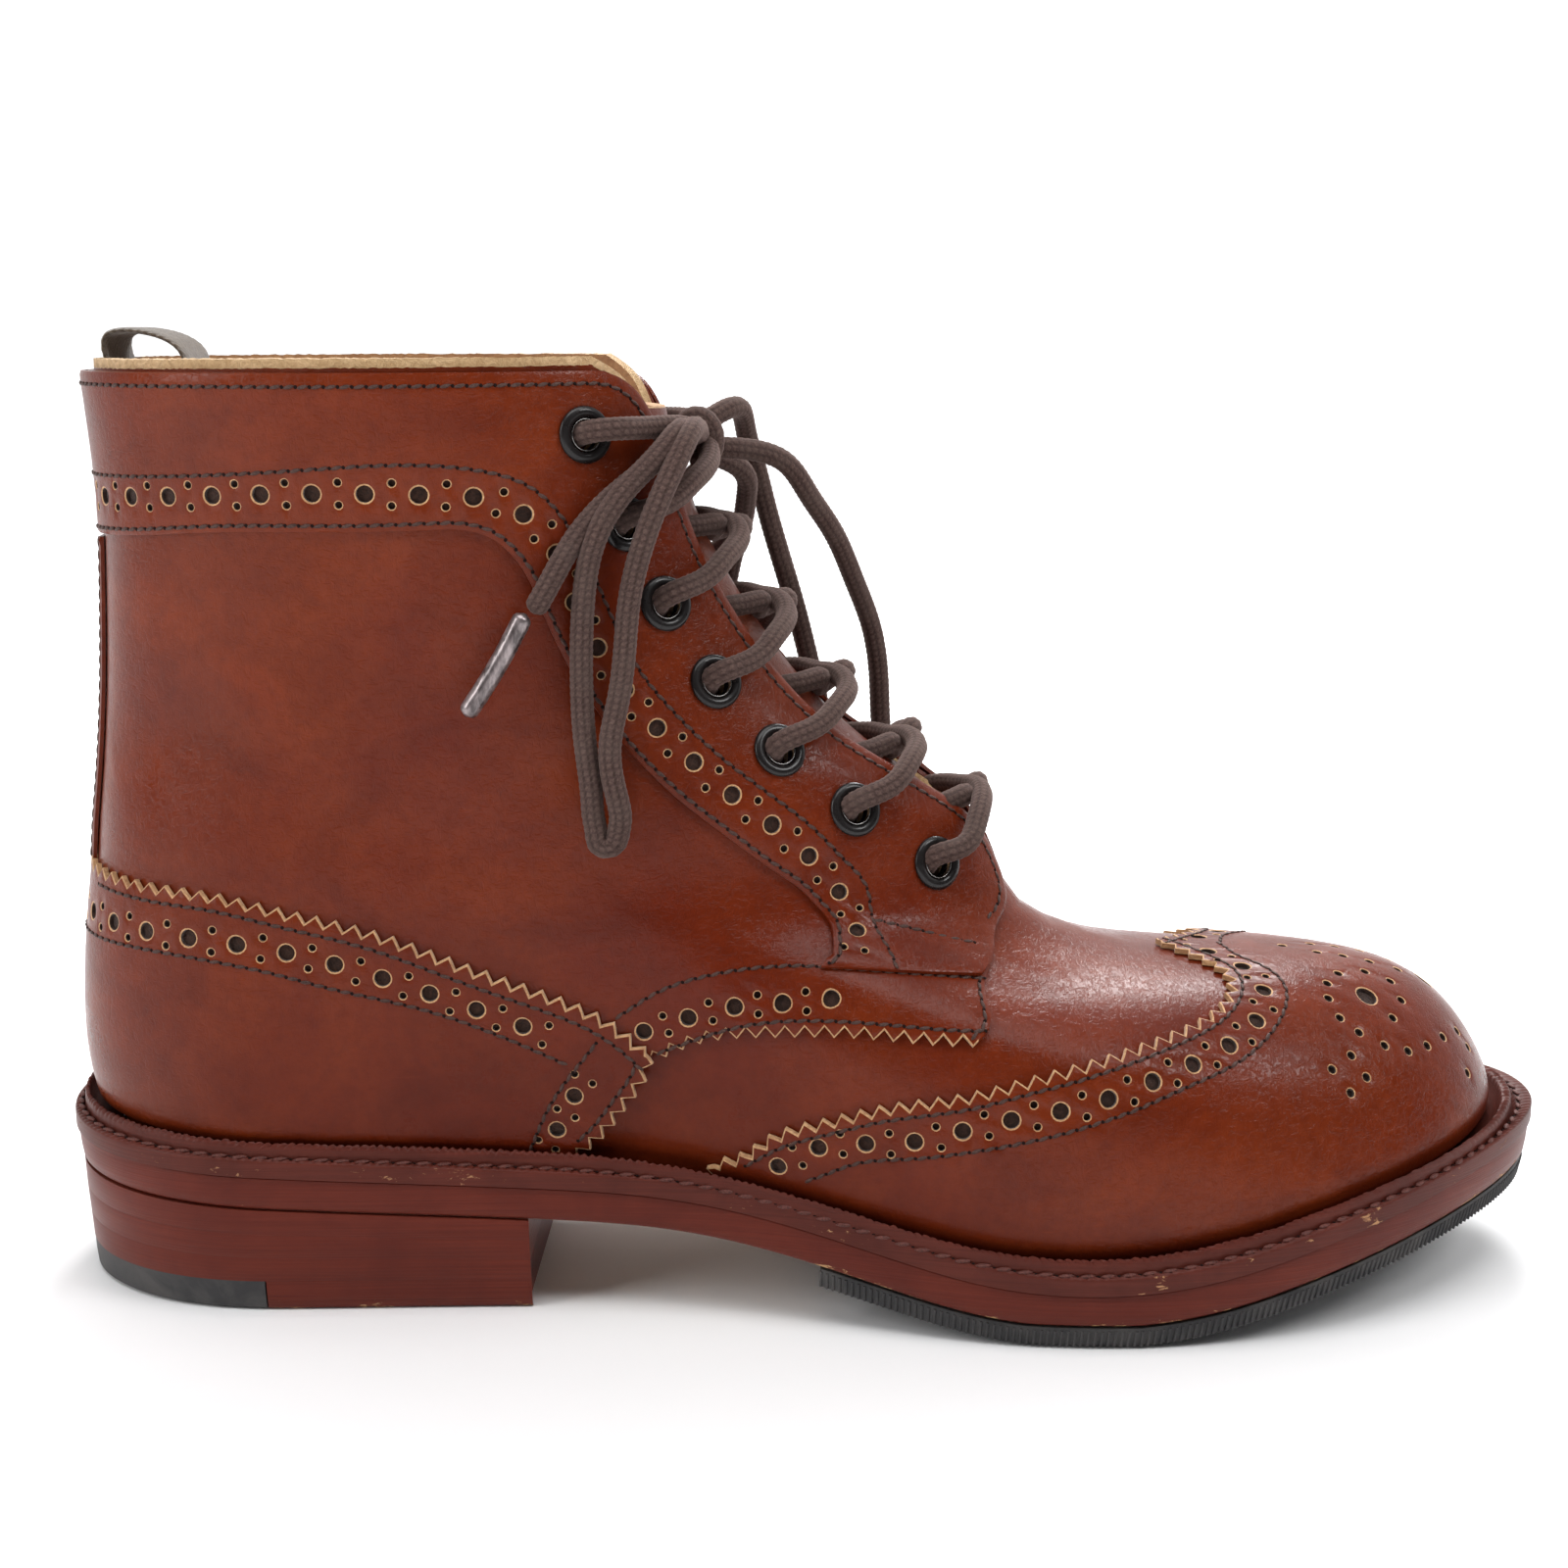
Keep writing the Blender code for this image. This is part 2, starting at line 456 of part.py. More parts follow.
def welt_point(k_at, off, height):
    """A line beside the upper: on its columns, and half way between them on its flat facets."""
    p = last(COLUMNS, k_at)
    n = normal(COLUMNS, k_at)
    n[:, 2] = 0
    n /= np.linalg.norm(n, axis=1, keepdims=True)
    p = p + n * off
    p[:, 2] = sole_top(p[:, 0]) + height
    return np.stack([p, (p + np.roll(p, -1, axis=0)) / 2], 1).reshape(-1, 3)


def welt_edge(height, inset):
    x, y = outline(u, inset)
    return np.stack([x, y, sole_top(x) + height], -1)


inner = OVERLAY_TOP + 0.0006
section = [welt_point(0.0, 0.0005, 0.0), welt_point(0.020, 0.0008, 0.0026),
           welt_point(0.035, inner, 0.0030), welt_point(0.060, inner + 0.0003, BEAD_HEIGHT - 0.0006),
           welt_point(0.060, inner + 0.0010, BEAD_HEIGHT)]
edge_top, edge_low = welt_edge(WELT_THICK, 0.0), welt_edge(0.0, 0.0)
bead_out = section[4] * 0.62 + edge_top * 0.38
bead_out[:, 2] = sole_top(bead_out[:, 0]) + BEAD_HEIGHT - 0.0008
bead_foot = section[4] * 0.45 + edge_top * 0.55
bead_foot[:, 2] = sole_top(bead_foot[:, 0]) + WELT_THICK + 0.0002
section += [bead_out, bead_foot, edge_top, edge_low]
count = len(u)
verts = np.concatenate(section)
faces = []
for row in range(len(section)):
    after = (row + 1) % len(section)
    for j in range(count):
        quad = (row * count + j, row * count + (j + 1) % count,
                after * count + (j + 1) % count, after * count + j)
        faces.append(quad)
solid('welt', verts, faces, EDGE, 0.5, sharp=30)

# Insole inside the wall's foot.
INSOLE_IN = WALL + 0.0022


def insole_edge(x):
    sides = []
    for side in (-1, 1):
        uu = side * np.linspace(0.001, 0.999, 241)
        ring = skin(uu, 0 * uu, -INSOLE_IN + 0 * uu)
        sides.append(np.interp(x, ring[:, 0], ring[:, 1]))
    return sides[0], sides[1]


ring_back = float(skin(0.0, 0.0, -INSOLE_IN)[0])
ring_front = float(skin(1.0, 0.0, -INSOLE_IN)[0])
t = (1 - np.cos(np.pi * np.clip(np.linspace(0, 1, 24), 0.02, 0.98))) / 2
x = ring_back + (ring_front - ring_back) * t
left, right = insole_edge(x)
lane = np.linspace(0, 1, 3)[:, None]
y = left + (right - left) * lane
xs = np.broadcast_to(x, y.shape)
floor_in = np.stack([xs, y, np.broadcast_to(sole_top(x), y.shape)], -1)
face_in = floor_in + np.array([0, 0, INSOLE_THICK])
solid('insole', *between(floor_in, face_in), TAN, 0.7)

# Eyelets: a domed ring on each facing.
EYELET_R = 0.0054
EYELET_HOLE = 0.0029
for number, (s, k) in enumerate(EYELETS, 1):
    for side, word in ((-1, 'lateral'), (1, 'medial')):
        n = normal(side * s, k)
        base = skin(side * s, k, OVERLAY_TOP + 0.00045)
        along = last(side * s + 0.004, k) - last(side * s - 0.004, k)
        along -= n * np.dot(along, n)
        along /= np.linalg.norm(along)
        across = np.cross(n, along)
        profile_ring = [(EYELET_HOLE, 0.0), (EYELET_R, 0.0),
                        (0.45 * EYELET_R + 0.55 * EYELET_HOLE, 0.0011)]
        verts, faces = [], []
        for i in range(10):
            ang = math.tau * i / 10
            spoke = along * math.cos(ang) + across * math.sin(ang)
            verts += [base + spoke * r + n * h for r, h in profile_ring]
            for j in range(3):
                a, b = i * 3 + j, i * 3 + (j + 1) % 3
                c, d = (i + 1) % 10 * 3 + (j + 1) % 3, (i + 1) % 10 * 3 + j
                faces.append((a, b, c, d))
        solid('eyelet_%s_%d' % (word, number), verts, faces, BLACK, 0.35, 0.6)


def route(places, spacing=0.0125, start=None, end=None):
    """Evenly spaced points of a smooth curve through (u, k, offset) places, with a point of the
    knot's side before the first or after the last."""
    pts = [skin(u, k, off) for u, k, off in places]
    pts = np.array(([] if start is None else [start]) + pts + ([] if end is None else [end]))
    length = np.concatenate([[0], np.cumsum(np.linalg.norm(np.diff(pts, axis=0), axis=1))])
    curve = spline(length, pts)
    fine = curve(np.linspace(0, length[-1], 400))
    run = np.concatenate([[0], np.cumsum(np.linalg.norm(np.diff(fine, axis=0), axis=1))])
    count = max(3, int(round(run[-1] / spacing)) + 1)
    at = np.linspace(0, run[-1], count)
    return np.stack([np.interp(at, run, fine[:, i]) for i in range(3)], -1)


def pipe(name, pts, radius, colour, sides=6):
    """A closed tube with flat ends through the points."""
    verts, faces = [], []
    tangents = np.gradient(pts, axis=0)
    ref = np.array([0.0, 0.0, 1.0])
    for p, tan in zip(pts, tangents):
        tan = tan / np.linalg.norm(tan)
        a = np.cross(tan, ref)
        a /= np.linalg.norm(a)
        b = np.cross(tan, a)
        for i in range(sides):
            ang = math.tau * (i + 0.5) / sides
            verts.append(p + radius * (a * math.cos(ang) + b * math.sin(ang)))
    rings = len(pts)
    for r in range(rings - 1):
        for i in range(sides):
            j = (i + 1) % sides
            faces.append((r * sides + i, r * sides + j, (r + 1) * sides + j, (r + 1) * sides + i))
    faces.append(tuple(range(sides))[::-1])
    faces.append(tuple(range((rings - 1) * sides, rings * sides)))
    return solid(name, verts, faces, colour, 0.85)


# Lace crossings: each leaves an eyelet, rises over its facing's edge and dips under the other's.
R = LACE / 2
OVER = OVERLAY_TOP + 0.0016 + R + GAP
for number in range(len(EYELETS) - 1, 0, -1):
    (s0, k0), (s1, k1) = EYELETS[number], EYELETS[number - 1]
    runs = []
    rise = k1 - k0
    for side in (-1, 1):
        places = [(side * s0, k0 + 0.004, OVER),
                  (side * (0.6 * s0 + 0.34), k0 + 0.20 * rise, OVER)]
        if number == len(EYELETS) - 1:
            places += [(side * 0.95, k0 + 0.42 * rise, OVER + 0.0002),
                       (side * 1.00, k0 + 0.50 * rise, OVER + 0.0002),
                       (side * 1.05, k0 + 0.58 * rise, OVER + 0.0004),
                       (side * 1.10, k0 + 0.68 * rise, OVER + 0.0008)]
        else:
            places += [(side * 0.94, k0 + 0.40 * rise, 0.0058),
                       (side * 1.00, k0 + 0.50 * rise, 0.0040),
                       (side * 1.05, k0 + 0.60 * rise, 0.0022),
                       (side * 1.085, k0 + 0.68 * rise, 0.0010)]
        runs.append(route(places, 0.0095))
    body = pipe('lace_crossing_%d' % number, runs[0], R, LACE_BROWN)
    other = pipe('cut_crossing_%d' % number, runs[1], R * 1.002, LACE_BROWN)
    other.hide_render = True
    other.display_type = 'WIRE'
    cut(body, other, 'UNION')

# Bow: a knot on the centre line, with its strands, loops and ends.
KNOT = skin(1.0, 0.945, 0.0048)
KNOT_HALF = np.array([0.0050, 0.0054, 0.0064])


def beside_knot(side, forward, up):
    """Where a strand stops face to face with the knot's side."""
    return KNOT + np.array([forward * LACE, side * (KNOT_HALF[1] + GAP + 0.16 * LACE), up * LACE])


for side, word in ((-1, 'lateral'), (1, 'medial')):
    s0, k0 = EYELETS[0]
    pts = route([(side * s0, k0 + 0.002, OVER), (side * 0.80, k0 + 0.003, OVER),
                 (side * 0.87, k0 + 0.002, OVER - 0.0004)], 0.008, end=beside_knot(side, -0.80, 0.05))
    pipe('lace_top_' + word, pts, R, LACE_BROWN)
verts, faces = [], []
rows, cols = 6, 10
verts.append(KNOT + np.array([0, 0, KNOT_HALF[2]]))
for i in range(1, rows):
    for j in range(cols):
        th, ph = math.pi * i / rows, math.tau * j / cols
        verts.append(KNOT + KNOT_HALF * np.array([math.sin(th) * math.cos(ph),
                                                 math.sin(th) * math.sin(ph), math.cos(th)]))
verts.append(KNOT - np.array([0, 0, KNOT_HALF[2]]))
for j in range(cols):
    faces.append((0, 1 + j, 1 + (j + 1) % cols))
    low = 1 + (rows - 2) * cols
    faces.append((len(verts) - 1, low + (j + 1) % cols, low + j))
    for i in range(rows - 2):
        a = 1 + i * cols
        faces.append((a + j, a + cols + j, a + cols + (j + 1) % cols, a + (j + 1) % cols))
solid('lace_knot', verts, faces, LACE_BROWN, 0.85)


def cord(name, pts, radius, colour, roughness=0.85, metallic=0.0):
    """A round cord as a bevelled curve with filled caps."""
    curve = bpy.data.curves.new(name, 'CURVE')
    curve.dimensions = '3D'
    curve.bevel_depth = radius
    curve.bevel_resolution = 2
    curve.use_fill_caps = True
    line = curve.splines.new('POLY')
    line.points.add(len(pts) - 1)
    for point, p in zip(line.points, pts - ORIGIN):
        point.co = (*p, 1)
    curve.materials.append(material(name, colour, roughness, metallic))
    obj = bpy.data.objects.new(name, curve)
    bpy.context.scene.collection.objects.link(obj)
    return obj


NEAR_LOOP = [(-0.905, 0.915, 0.0125), (-0.835, 0.908, 0.0135), (-0.745, 0.880, 0.0130),
             (-0.690, 0.848, 0.0110), (-0.665, 0.818, 0.0090), (-0.645, 0.782, 0.0075),
             (-0.620, 0.733, 0.0070), (-0.598, 0.672, 0.0068), (-0.578, 0.620, 0.0068),
             (-0.558, 0.555, 0.0066), (-0.562, 0.525, 0.0066), (-0.580, 0.535, 0.0068),
             (-0.598, 0.600, 0.0070), (-0.636, 0.698, 0.0072), (-0.684, 0.780, 0.0090),
             (-0.714, 0.815, 0.0120), (-0.745, 0.848, 0.0165), (-0.800, 0.880, 0.0195),
             (-0.860, 0.905, 0.0190), (-0.915, 0.935, 0.0175)]
FAR_LOOP = [(0.915, 0.952, 0.0145), (0.885, 0.930, 0.0175), (0.870, 0.895, 0.0190),
            (0.855, 0.840, 0.0190), (0.825, 0.738, 0.0160), (0.788, 0.660, 0.0130),
            (0.766, 0.615, 0.0105), (0.733, 0.547, 0.0080), (0.722, 0.508, 0.0075),
            (0.735, 0.487, 0.0080), (0.765, 0.512, 0.0098), (0.785, 0.557, 0.0135),
            (0.812, 0.605, 0.0190), (0.845, 0.665, 0.0235), (0.880, 0.735, 0.0245),
            (0.915, 0.795, 0.0235), (0.945, 0.850, 0.0210), (0.968, 0.900, 0.0180)]
NEAR_END = [(-0.905, 0.962, 0.0155), (-0.850, 0.958, 0.0150), (-0.790, 0.930, 0.0125),
            (-0.723, 0.895, 0.0095), (-0.676, 0.864, 0.0075), (-0.628, 0.816, 0.0068),
            (-0.605, 0.792, 0.0066)]
FAR_END = [(0.905, 0.890, 0.0125), (0.880, 0.868, 0.0130), (0.845, 0.838, 0.0133),
           (0.800, 0.800, 0.0128), (0.750, 0.745, 0.0105), (0.712, 0.700, 0.0085)]
cord('lace_loop_near', route(NEAR_LOOP, start=beside_knot(-1, 0.22, -0.64),
                             end=beside_knot(-1, 1.06, 0.02)), R, LACE_BROWN)
before_knot = KNOT + np.array([KNOT_HALF[0] + GAP + 0.3 * LACE, 0.53 * LACE, -0.31 * LACE])
cord('lace_loop_far', route(FAR_LOOP, start=beside_knot(1, 0.22, 0.64), end=before_knot), R,
     LACE_BROWN)
cord('lace_end_near', route(NEAR_END, start=beside_knot(-1, 0.13, 0.64)), R, LACE_BROWN)
cord('lace_end_far', route(FAR_END, start=beside_knot(1, 0.22, -0.64)), R, LACE_BROWN)
TAG_NEAR = [(-0.602, 0.789, 0.0066), (-0.555, 0.735, 0.0064), (-0.508, 0.676, 0.0062)]
TAG_FAR = [(0.709, 0.696, 0.0083), (0.665, 0.640, 0.0072), (0.620, 0.580, 0.0064)]
cord('aglet_near', route(TAG_NEAR, 0.008), 0.0019, LACE_BROWN, 0.3, 0.2)
cord('aglet_far', route(TAG_FAR, 0.008), 0.0019, LACE_BROWN, 0.3, 0.2)

# Pull loop: webbing sewn to the lining at the back, arching over the collar.
# Columns: millimetres forward of the collar's back, millimetres above it.
LOOP = [(6.8, -10.0), (6.2, -3.0), (4.6, 2.4), (5.0, 4.9), (8.4, 6.2), (15.0, 6.3), (22.0, 5.2),
        (26.0, 2.6), (26.4, -1.6), (22.5, -6.8), (14.5, -12.5), (7.8, -15.5)]
LOOP_HALF = 0.0100
WEB = 0.0012
at = last(0.0, 1.0)
line = np.array(LOOP) / 1000 * (SHAFT_HEIGHT / 0.163)
length = np.concatenate([[0], np.cumsum(np.linalg.norm(np.diff(line, axis=0), axis=1))])
line = spline(length, line)(np.linspace(0, length[-1], 20))
tangent = np.gradient(line, axis=0)
tangent /= np.linalg.norm(tangent, axis=1, keepdims=True)
side_way = np.stack([-tangent[:, 1], tangent[:, 0]], -1)
rows = []
for offset in (-WEB / 2, WEB / 2):
    edge_line = line + side_way * offset
    rows.append([[(at[0] + p[0], at[1] + y, at[2] + p[1]) for p in edge_line]
                 for y in (-LOOP_HALF, LOOP_HALF)])
solid('pull_loop', *between(np.array(rows[0]), np.array(rows[1])), OLIVE, 0.9)
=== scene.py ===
"""The looks of a right-foot leather derby ankle boot with a wing cap, brogued overlays and a storm welt.

A place on the upper is given by a chart: |u| runs from 0 at the back of the heel to 1 at the centre
line of the front, negative on the lateral side, and k runs from 0 at the feather line to 1 at the
collar. Lengths are metres, in the frame of the CAD model.
"""
import math
import bpy
import bmesh
import numpy as np
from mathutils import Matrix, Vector
from mathutils.geometry import delaunay_2d_cdt
from mathutils.kdtree import KDTree


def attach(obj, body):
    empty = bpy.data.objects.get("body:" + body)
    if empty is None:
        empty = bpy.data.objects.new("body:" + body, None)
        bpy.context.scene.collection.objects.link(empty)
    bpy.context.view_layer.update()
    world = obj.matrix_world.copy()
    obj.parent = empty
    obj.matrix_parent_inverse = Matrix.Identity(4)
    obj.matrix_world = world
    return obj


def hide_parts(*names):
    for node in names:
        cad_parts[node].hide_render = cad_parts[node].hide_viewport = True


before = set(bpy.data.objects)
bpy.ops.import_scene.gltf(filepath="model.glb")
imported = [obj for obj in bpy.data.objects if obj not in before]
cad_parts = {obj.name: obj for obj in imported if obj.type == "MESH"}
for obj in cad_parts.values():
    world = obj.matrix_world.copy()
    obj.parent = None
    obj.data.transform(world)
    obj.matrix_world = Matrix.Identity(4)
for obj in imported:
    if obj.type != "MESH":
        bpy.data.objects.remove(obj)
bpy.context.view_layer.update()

# Upper: vamp leather with its lining, one wall 1.9 mm thick, lasted over the form that the tables
# below describe, and closed under the insole. It is open at the collar and along the throat.
SOLE_LENGTH = 0.309
BALL_WIDTH = 0.108
SHAFT_HEIGHT = 0.163
HEEL_RISE = 0.020
SOLE_THICK = 0.0073
RUBBER_THICK = 0.0040
GAP = 0.0003
WALL = 0.0019
PANEL = 0.0012
OVERLAY = 0.0011
QUARTER_TOP = GAP + PANEL
OVERLAY_LOW = QUARTER_TOP + GAP
OVERLAY_TOP = OVERLAY_LOW + OVERLAY
# Rise of the sole's top above its lowest line. Columns: share of sole length, share of heel rise.
SOLE_PROFILE = [(0.00, 1.000), (0.10, 0.940), (0.20, 0.860), (0.32, 0.770), (0.40, 0.680),
                (0.47, 0.510), (0.54, 0.270), (0.60, 0.075), (0.65, 0.000), (0.70, 0.010),
                (0.75, 0.115), (0.81, 0.335), (0.87, 0.545), (0.93, 0.725), (1.00, 0.880)]
# Half widths of the welt. Columns: share of sole length, lateral and medial shares of ball width.
OUTLINE = [(0.00, 0.366, 0.356), (0.14, 0.370, 0.361), (0.25, 0.361, 0.350), (0.35, 0.356, 0.322),
           (0.44, 0.370, 0.318), (0.53, 0.430, 0.355), (0.62, 0.495, 0.430), (0.70, 0.514, 0.491),
           (0.78, 0.500, 0.500), (0.88, 0.454, 0.472), (1.00, 0.370, 0.426)]
# The last's centre line. Columns: share of sole length, sideways share of ball width.
CENTRE = [(0.0, 0.0), (0.3, 0.0), (0.5, 0.0), (0.7, 0.005), (0.85, 0.028), (1.0, 0.065)]
# Rings of the upper. Columns: share of the way up, back x, back height, front x, front height,
# length of the rounding at the back and at the front.
RINGS = [(0.00, 0.031, 0.000, 0.950, 0.000, 0.129, 0.200),
         (0.06, 0.023, 0.049, 0.961, 0.034, 0.129, 0.200),
         (0.12, 0.019, 0.098, 0.960, 0.070, 0.129, 0.200),
         (0.19, 0.019, 0.153, 0.939, 0.144, 0.129, 0.206),
         (0.27, 0.021, 0.215, 0.894, 0.220, 0.129, 0.232),
         (0.36, 0.025, 0.288, 0.803, 0.285, 0.129, 0.274),
         (0.43, 0.029, 0.347, 0.700, 0.342, 0.135, 0.297),
         (0.47, 0.031, 0.383, 0.645, 0.389, 0.139, 0.297),
         (0.52, 0.034, 0.429, 0.613, 0.475, 0.142, 0.290),
         (0.62, 0.039, 0.528, 0.555, 0.567, 0.148, 0.271),
         (0.72, 0.043, 0.632, 0.500, 0.639, 0.155, 0.245),
         (0.82, 0.045, 0.742, 0.453, 0.745, 0.161, 0.219),
         (0.92, 0.043, 0.859, 0.423, 0.865, 0.168, 0.206),
         (1.00, 0.039, 0.957, 0.406, 1.000, 0.168, 0.200)]
# Half widths of the same rings. Columns: share of the way up, lateral at heel, waist, ball and
# toe, medial at heel, waist, ball and toe.
WIDTHS = [(0.00, 0.292, 0.269, 0.421, 0.407, 0.287, 0.240, 0.412, 0.389),
          (0.06, 0.310, 0.292, 0.449, 0.421, 0.306, 0.264, 0.444, 0.403),
          (0.12, 0.319, 0.310, 0.458, 0.412, 0.315, 0.287, 0.458, 0.398),
          (0.19, 0.324, 0.324, 0.449, 0.384, 0.319, 0.306, 0.449, 0.375),
          (0.27, 0.324, 0.333, 0.426, 0.333, 0.319, 0.319, 0.417, 0.333),
          (0.36, 0.319, 0.338, 0.370, 0.315, 0.315, 0.329, 0.356, 0.315),
          (0.43, 0.315, 0.338, 0.315, 0.287, 0.310, 0.333, 0.306, 0.287),
          (0.47, 0.315, 0.335, 0.296, 0.287, 0.310, 0.331, 0.292, 0.287),
          (0.52, 0.310, 0.333, 0.296, 0.296, 0.306, 0.329, 0.296, 0.296),
          (0.62, 0.306, 0.333, 0.306, 0.306, 0.301, 0.329, 0.306, 0.306),
          (0.72, 0.310, 0.333, 0.306, 0.306, 0.306, 0.329, 0.306, 0.306),
          (0.82, 0.319, 0.343, 0.306, 0.306, 0.315, 0.338, 0.306, 0.306),
          (0.92, 0.333, 0.352, 0.306, 0.306, 0.329, 0.347, 0.306, 0.306),
          (1.00, 0.347, 0.361, 0.306, 0.306, 0.343, 0.356, 0.306, 0.306)]
WIDTH_PLACES = np.array([0.0, 0.13, 0.36, 0.65, 0.86, 1.0]) * SOLE_LENGTH
# How far a ring follows the sole's profile. Columns: share of the way up, share followed.
FOLLOW = [(0.0, 1.0), (0.12, 0.95), (0.27, 0.75), (0.44, 0.4), (0.62, 0.12), (1.0, 0.0)]


def spline(xs, ys):
    """Natural cubic through the rows of a table; ys may have several columns."""
    xs, ys = np.array(xs, float), np.array(ys, float)
    n, h = len(xs), np.diff(xs)
    a, r = np.eye(n), np.zeros(ys.shape)
    for i in range(1, n - 1):
        a[i, i - 1:i + 2] = h[i - 1], 2 * (h[i - 1] + h[i]), h[i]
        r[i] = 6 * ((ys[i + 1] - ys[i]) / h[i] - (ys[i] - ys[i - 1]) / h[i - 1])
    m = np.linalg.solve(a, r)

    def at(x):
        x = np.asarray(x, float)
        i = np.clip(np.searchsorted(xs, x, side='right') - 1, 0, n - 2)
        d, w = x - xs[i], h[i]
        e = w - d
        if ys.ndim > 1:
            d, w, e = d[..., None], w[..., None], e[..., None]
        bend = (m[i] * e ** 3 + m[i + 1] * d ** 3) / (6 * w)
        return bend + (ys[i] / w - m[i] * w / 6) * e + (ys[i + 1] / w - m[i + 1] * w / 6) * d
    return at


profile = spline([r[0] for r in SOLE_PROFILE], [r[1] for r in SOLE_PROFILE])
outline_widths = spline([r[0] for r in OUTLINE], [r[1:] for r in OUTLINE])
centre_share = spline([r[0] for r in CENTRE], [r[1] for r in CENTRE])
ring_row = spline([r[0] for r in RINGS], [r[1:] for r in RINGS])
width_row = spline([r[0] for r in WIDTHS], [r[1:] for r in WIDTHS])
follow = spline([r[0] for r in FOLLOW], [r[1] for r in FOLLOW])


def sole_top(x):
    return SOLE_THICK + RUBBER_THICK + GAP + HEEL_RISE * profile(np.asarray(x) / SOLE_LENGTH)


def centre(x):
    return BALL_WIDTH * centre_share(np.asarray(x) / SOLE_LENGTH)


def rounded(x, x0, x1, back, front, power_b, power_f):
    tb = np.clip((x - x0) / back, 0, 1)
    tf = np.clip((x1 - x) / front, 0, 1)
    return (1 - (1 - tb) ** power_b) ** (1 / power_b) * (1 - (1 - tf) ** power_f) ** (1 / power_f)


def fold(u):
    u = (np.asarray(u, float) + 1) % 2 - 1
    return np.abs(u), np.where(u < 0, -1.0, 1.0)


def outline(u):
    """A point of the welt's outline, the same u as on the upper."""
    s, side = fold(u)
    x = SOLE_LENGTH * (1 - np.cos(np.pi * s)) / 2
    w = outline_widths(x / SOLE_LENGTH) * BALL_WIDTH
    w = np.where(side < 0, w[..., 0], w[..., 1])
    back, front = 0.148 * SOLE_LENGTH, 0.242 * SOLE_LENGTH
    y = centre(x) + side * w * rounded(x, 0.0, SOLE_LENGTH, back, front, 2.15, 2.1)
    return x, y


turn = outline(np.linspace(-1, 1, 721))[1]
ORIGIN = np.array([SOLE_LENGTH / 2, (turn.max() + turn.min()) / 2, 0.0])


def width_at(x, vals):
    """Width between the four places of a ring, with a smooth slope."""
    v = np.stack([vals[..., 0], vals[..., 0], vals[..., 1], vals[..., 2], vals[..., 3],
                  vals[..., 3]], -1)
    i = np.clip(np.searchsorted(WIDTH_PLACES, x, side='right') - 1, 0, 4)
    slope = (v[..., 1:] - v[..., :-1]) / np.diff(WIDTH_PLACES)
    m = np.concatenate([slope[..., :1] * 0, (slope[..., 1:] + slope[..., :-1]) / 2,
                        slope[..., -1:] * 0], -1)
    h = WIDTH_PLACES[i + 1] - WIDTH_PLACES[i]
    t = (x - WIDTH_PLACES[i]) / h

    def pick(table, j):
        return np.take_along_axis(table, j[..., None], -1)[..., 0]
    start = (2 * t ** 3 - 3 * t ** 2 + 1) * pick(v, i) + (t ** 3 - 2 * t ** 2 + t) * h * pick(m, i)
    end = (3 * t ** 2 - 2 * t ** 3) * pick(v, i + 1) + (t ** 3 - t ** 2) * h * pick(m, i + 1)
    return start + end


def last(u, k):
    """The outer face of the upper's wall at the chart place (u, k), in the CAD's frame."""
    u, k = np.broadcast_arrays(np.asarray(u, float), np.asarray(k, float))
    s, side = fold(u)
    r, w = ring_row(k), width_row(k) * BALL_WIDTH
    xb, xf, back, front = (r[..., i] * SOLE_LENGTH for i in (0, 2, 4, 5))
    hb, hf = r[..., 1] * SHAFT_HEIGHT, r[..., 3] * SHAFT_HEIGHT
    a = (1 - np.cos(np.pi * s)) / 2
    x = xb + (xf - xb) * a
    f = follow(k)
    base = f * sole_top(x) + (1 - f) * (sole_top(xb) * (1 - a) + sole_top(xf) * a)
    half = np.where(side < 0, width_at(x, w[..., 0:4]), width_at(x, w[..., 4:8]))
    y = centre(x) + side * half * rounded(x, xb, xf, back, front, 2.0, 2.0)
    return np.stack([x, y, base + hb + (hf - hb) * a], -1) - ORIGIN


def chart_steps(u, k):
    """How the surface moves with u and with k."""
    du = (last(u + 0.003, k) - last(u - 0.003, k)) / 0.006
    dk = (last(u, k + 0.003) - last(u, np.maximum(k - 0.003, 0.0))) / \
        (k + 0.003 - np.maximum(k - 0.003, 0.0))[..., None]
    return du, dk


def unit(v):
    return v / np.linalg.norm(v, axis=-1, keepdims=True)


def normal(u, k):
    u, k = np.broadcast_arrays(np.asarray(u, float), np.asarray(k, float))
    du, dk = chart_steps(u, k)
    return unit(np.cross(dk, du))


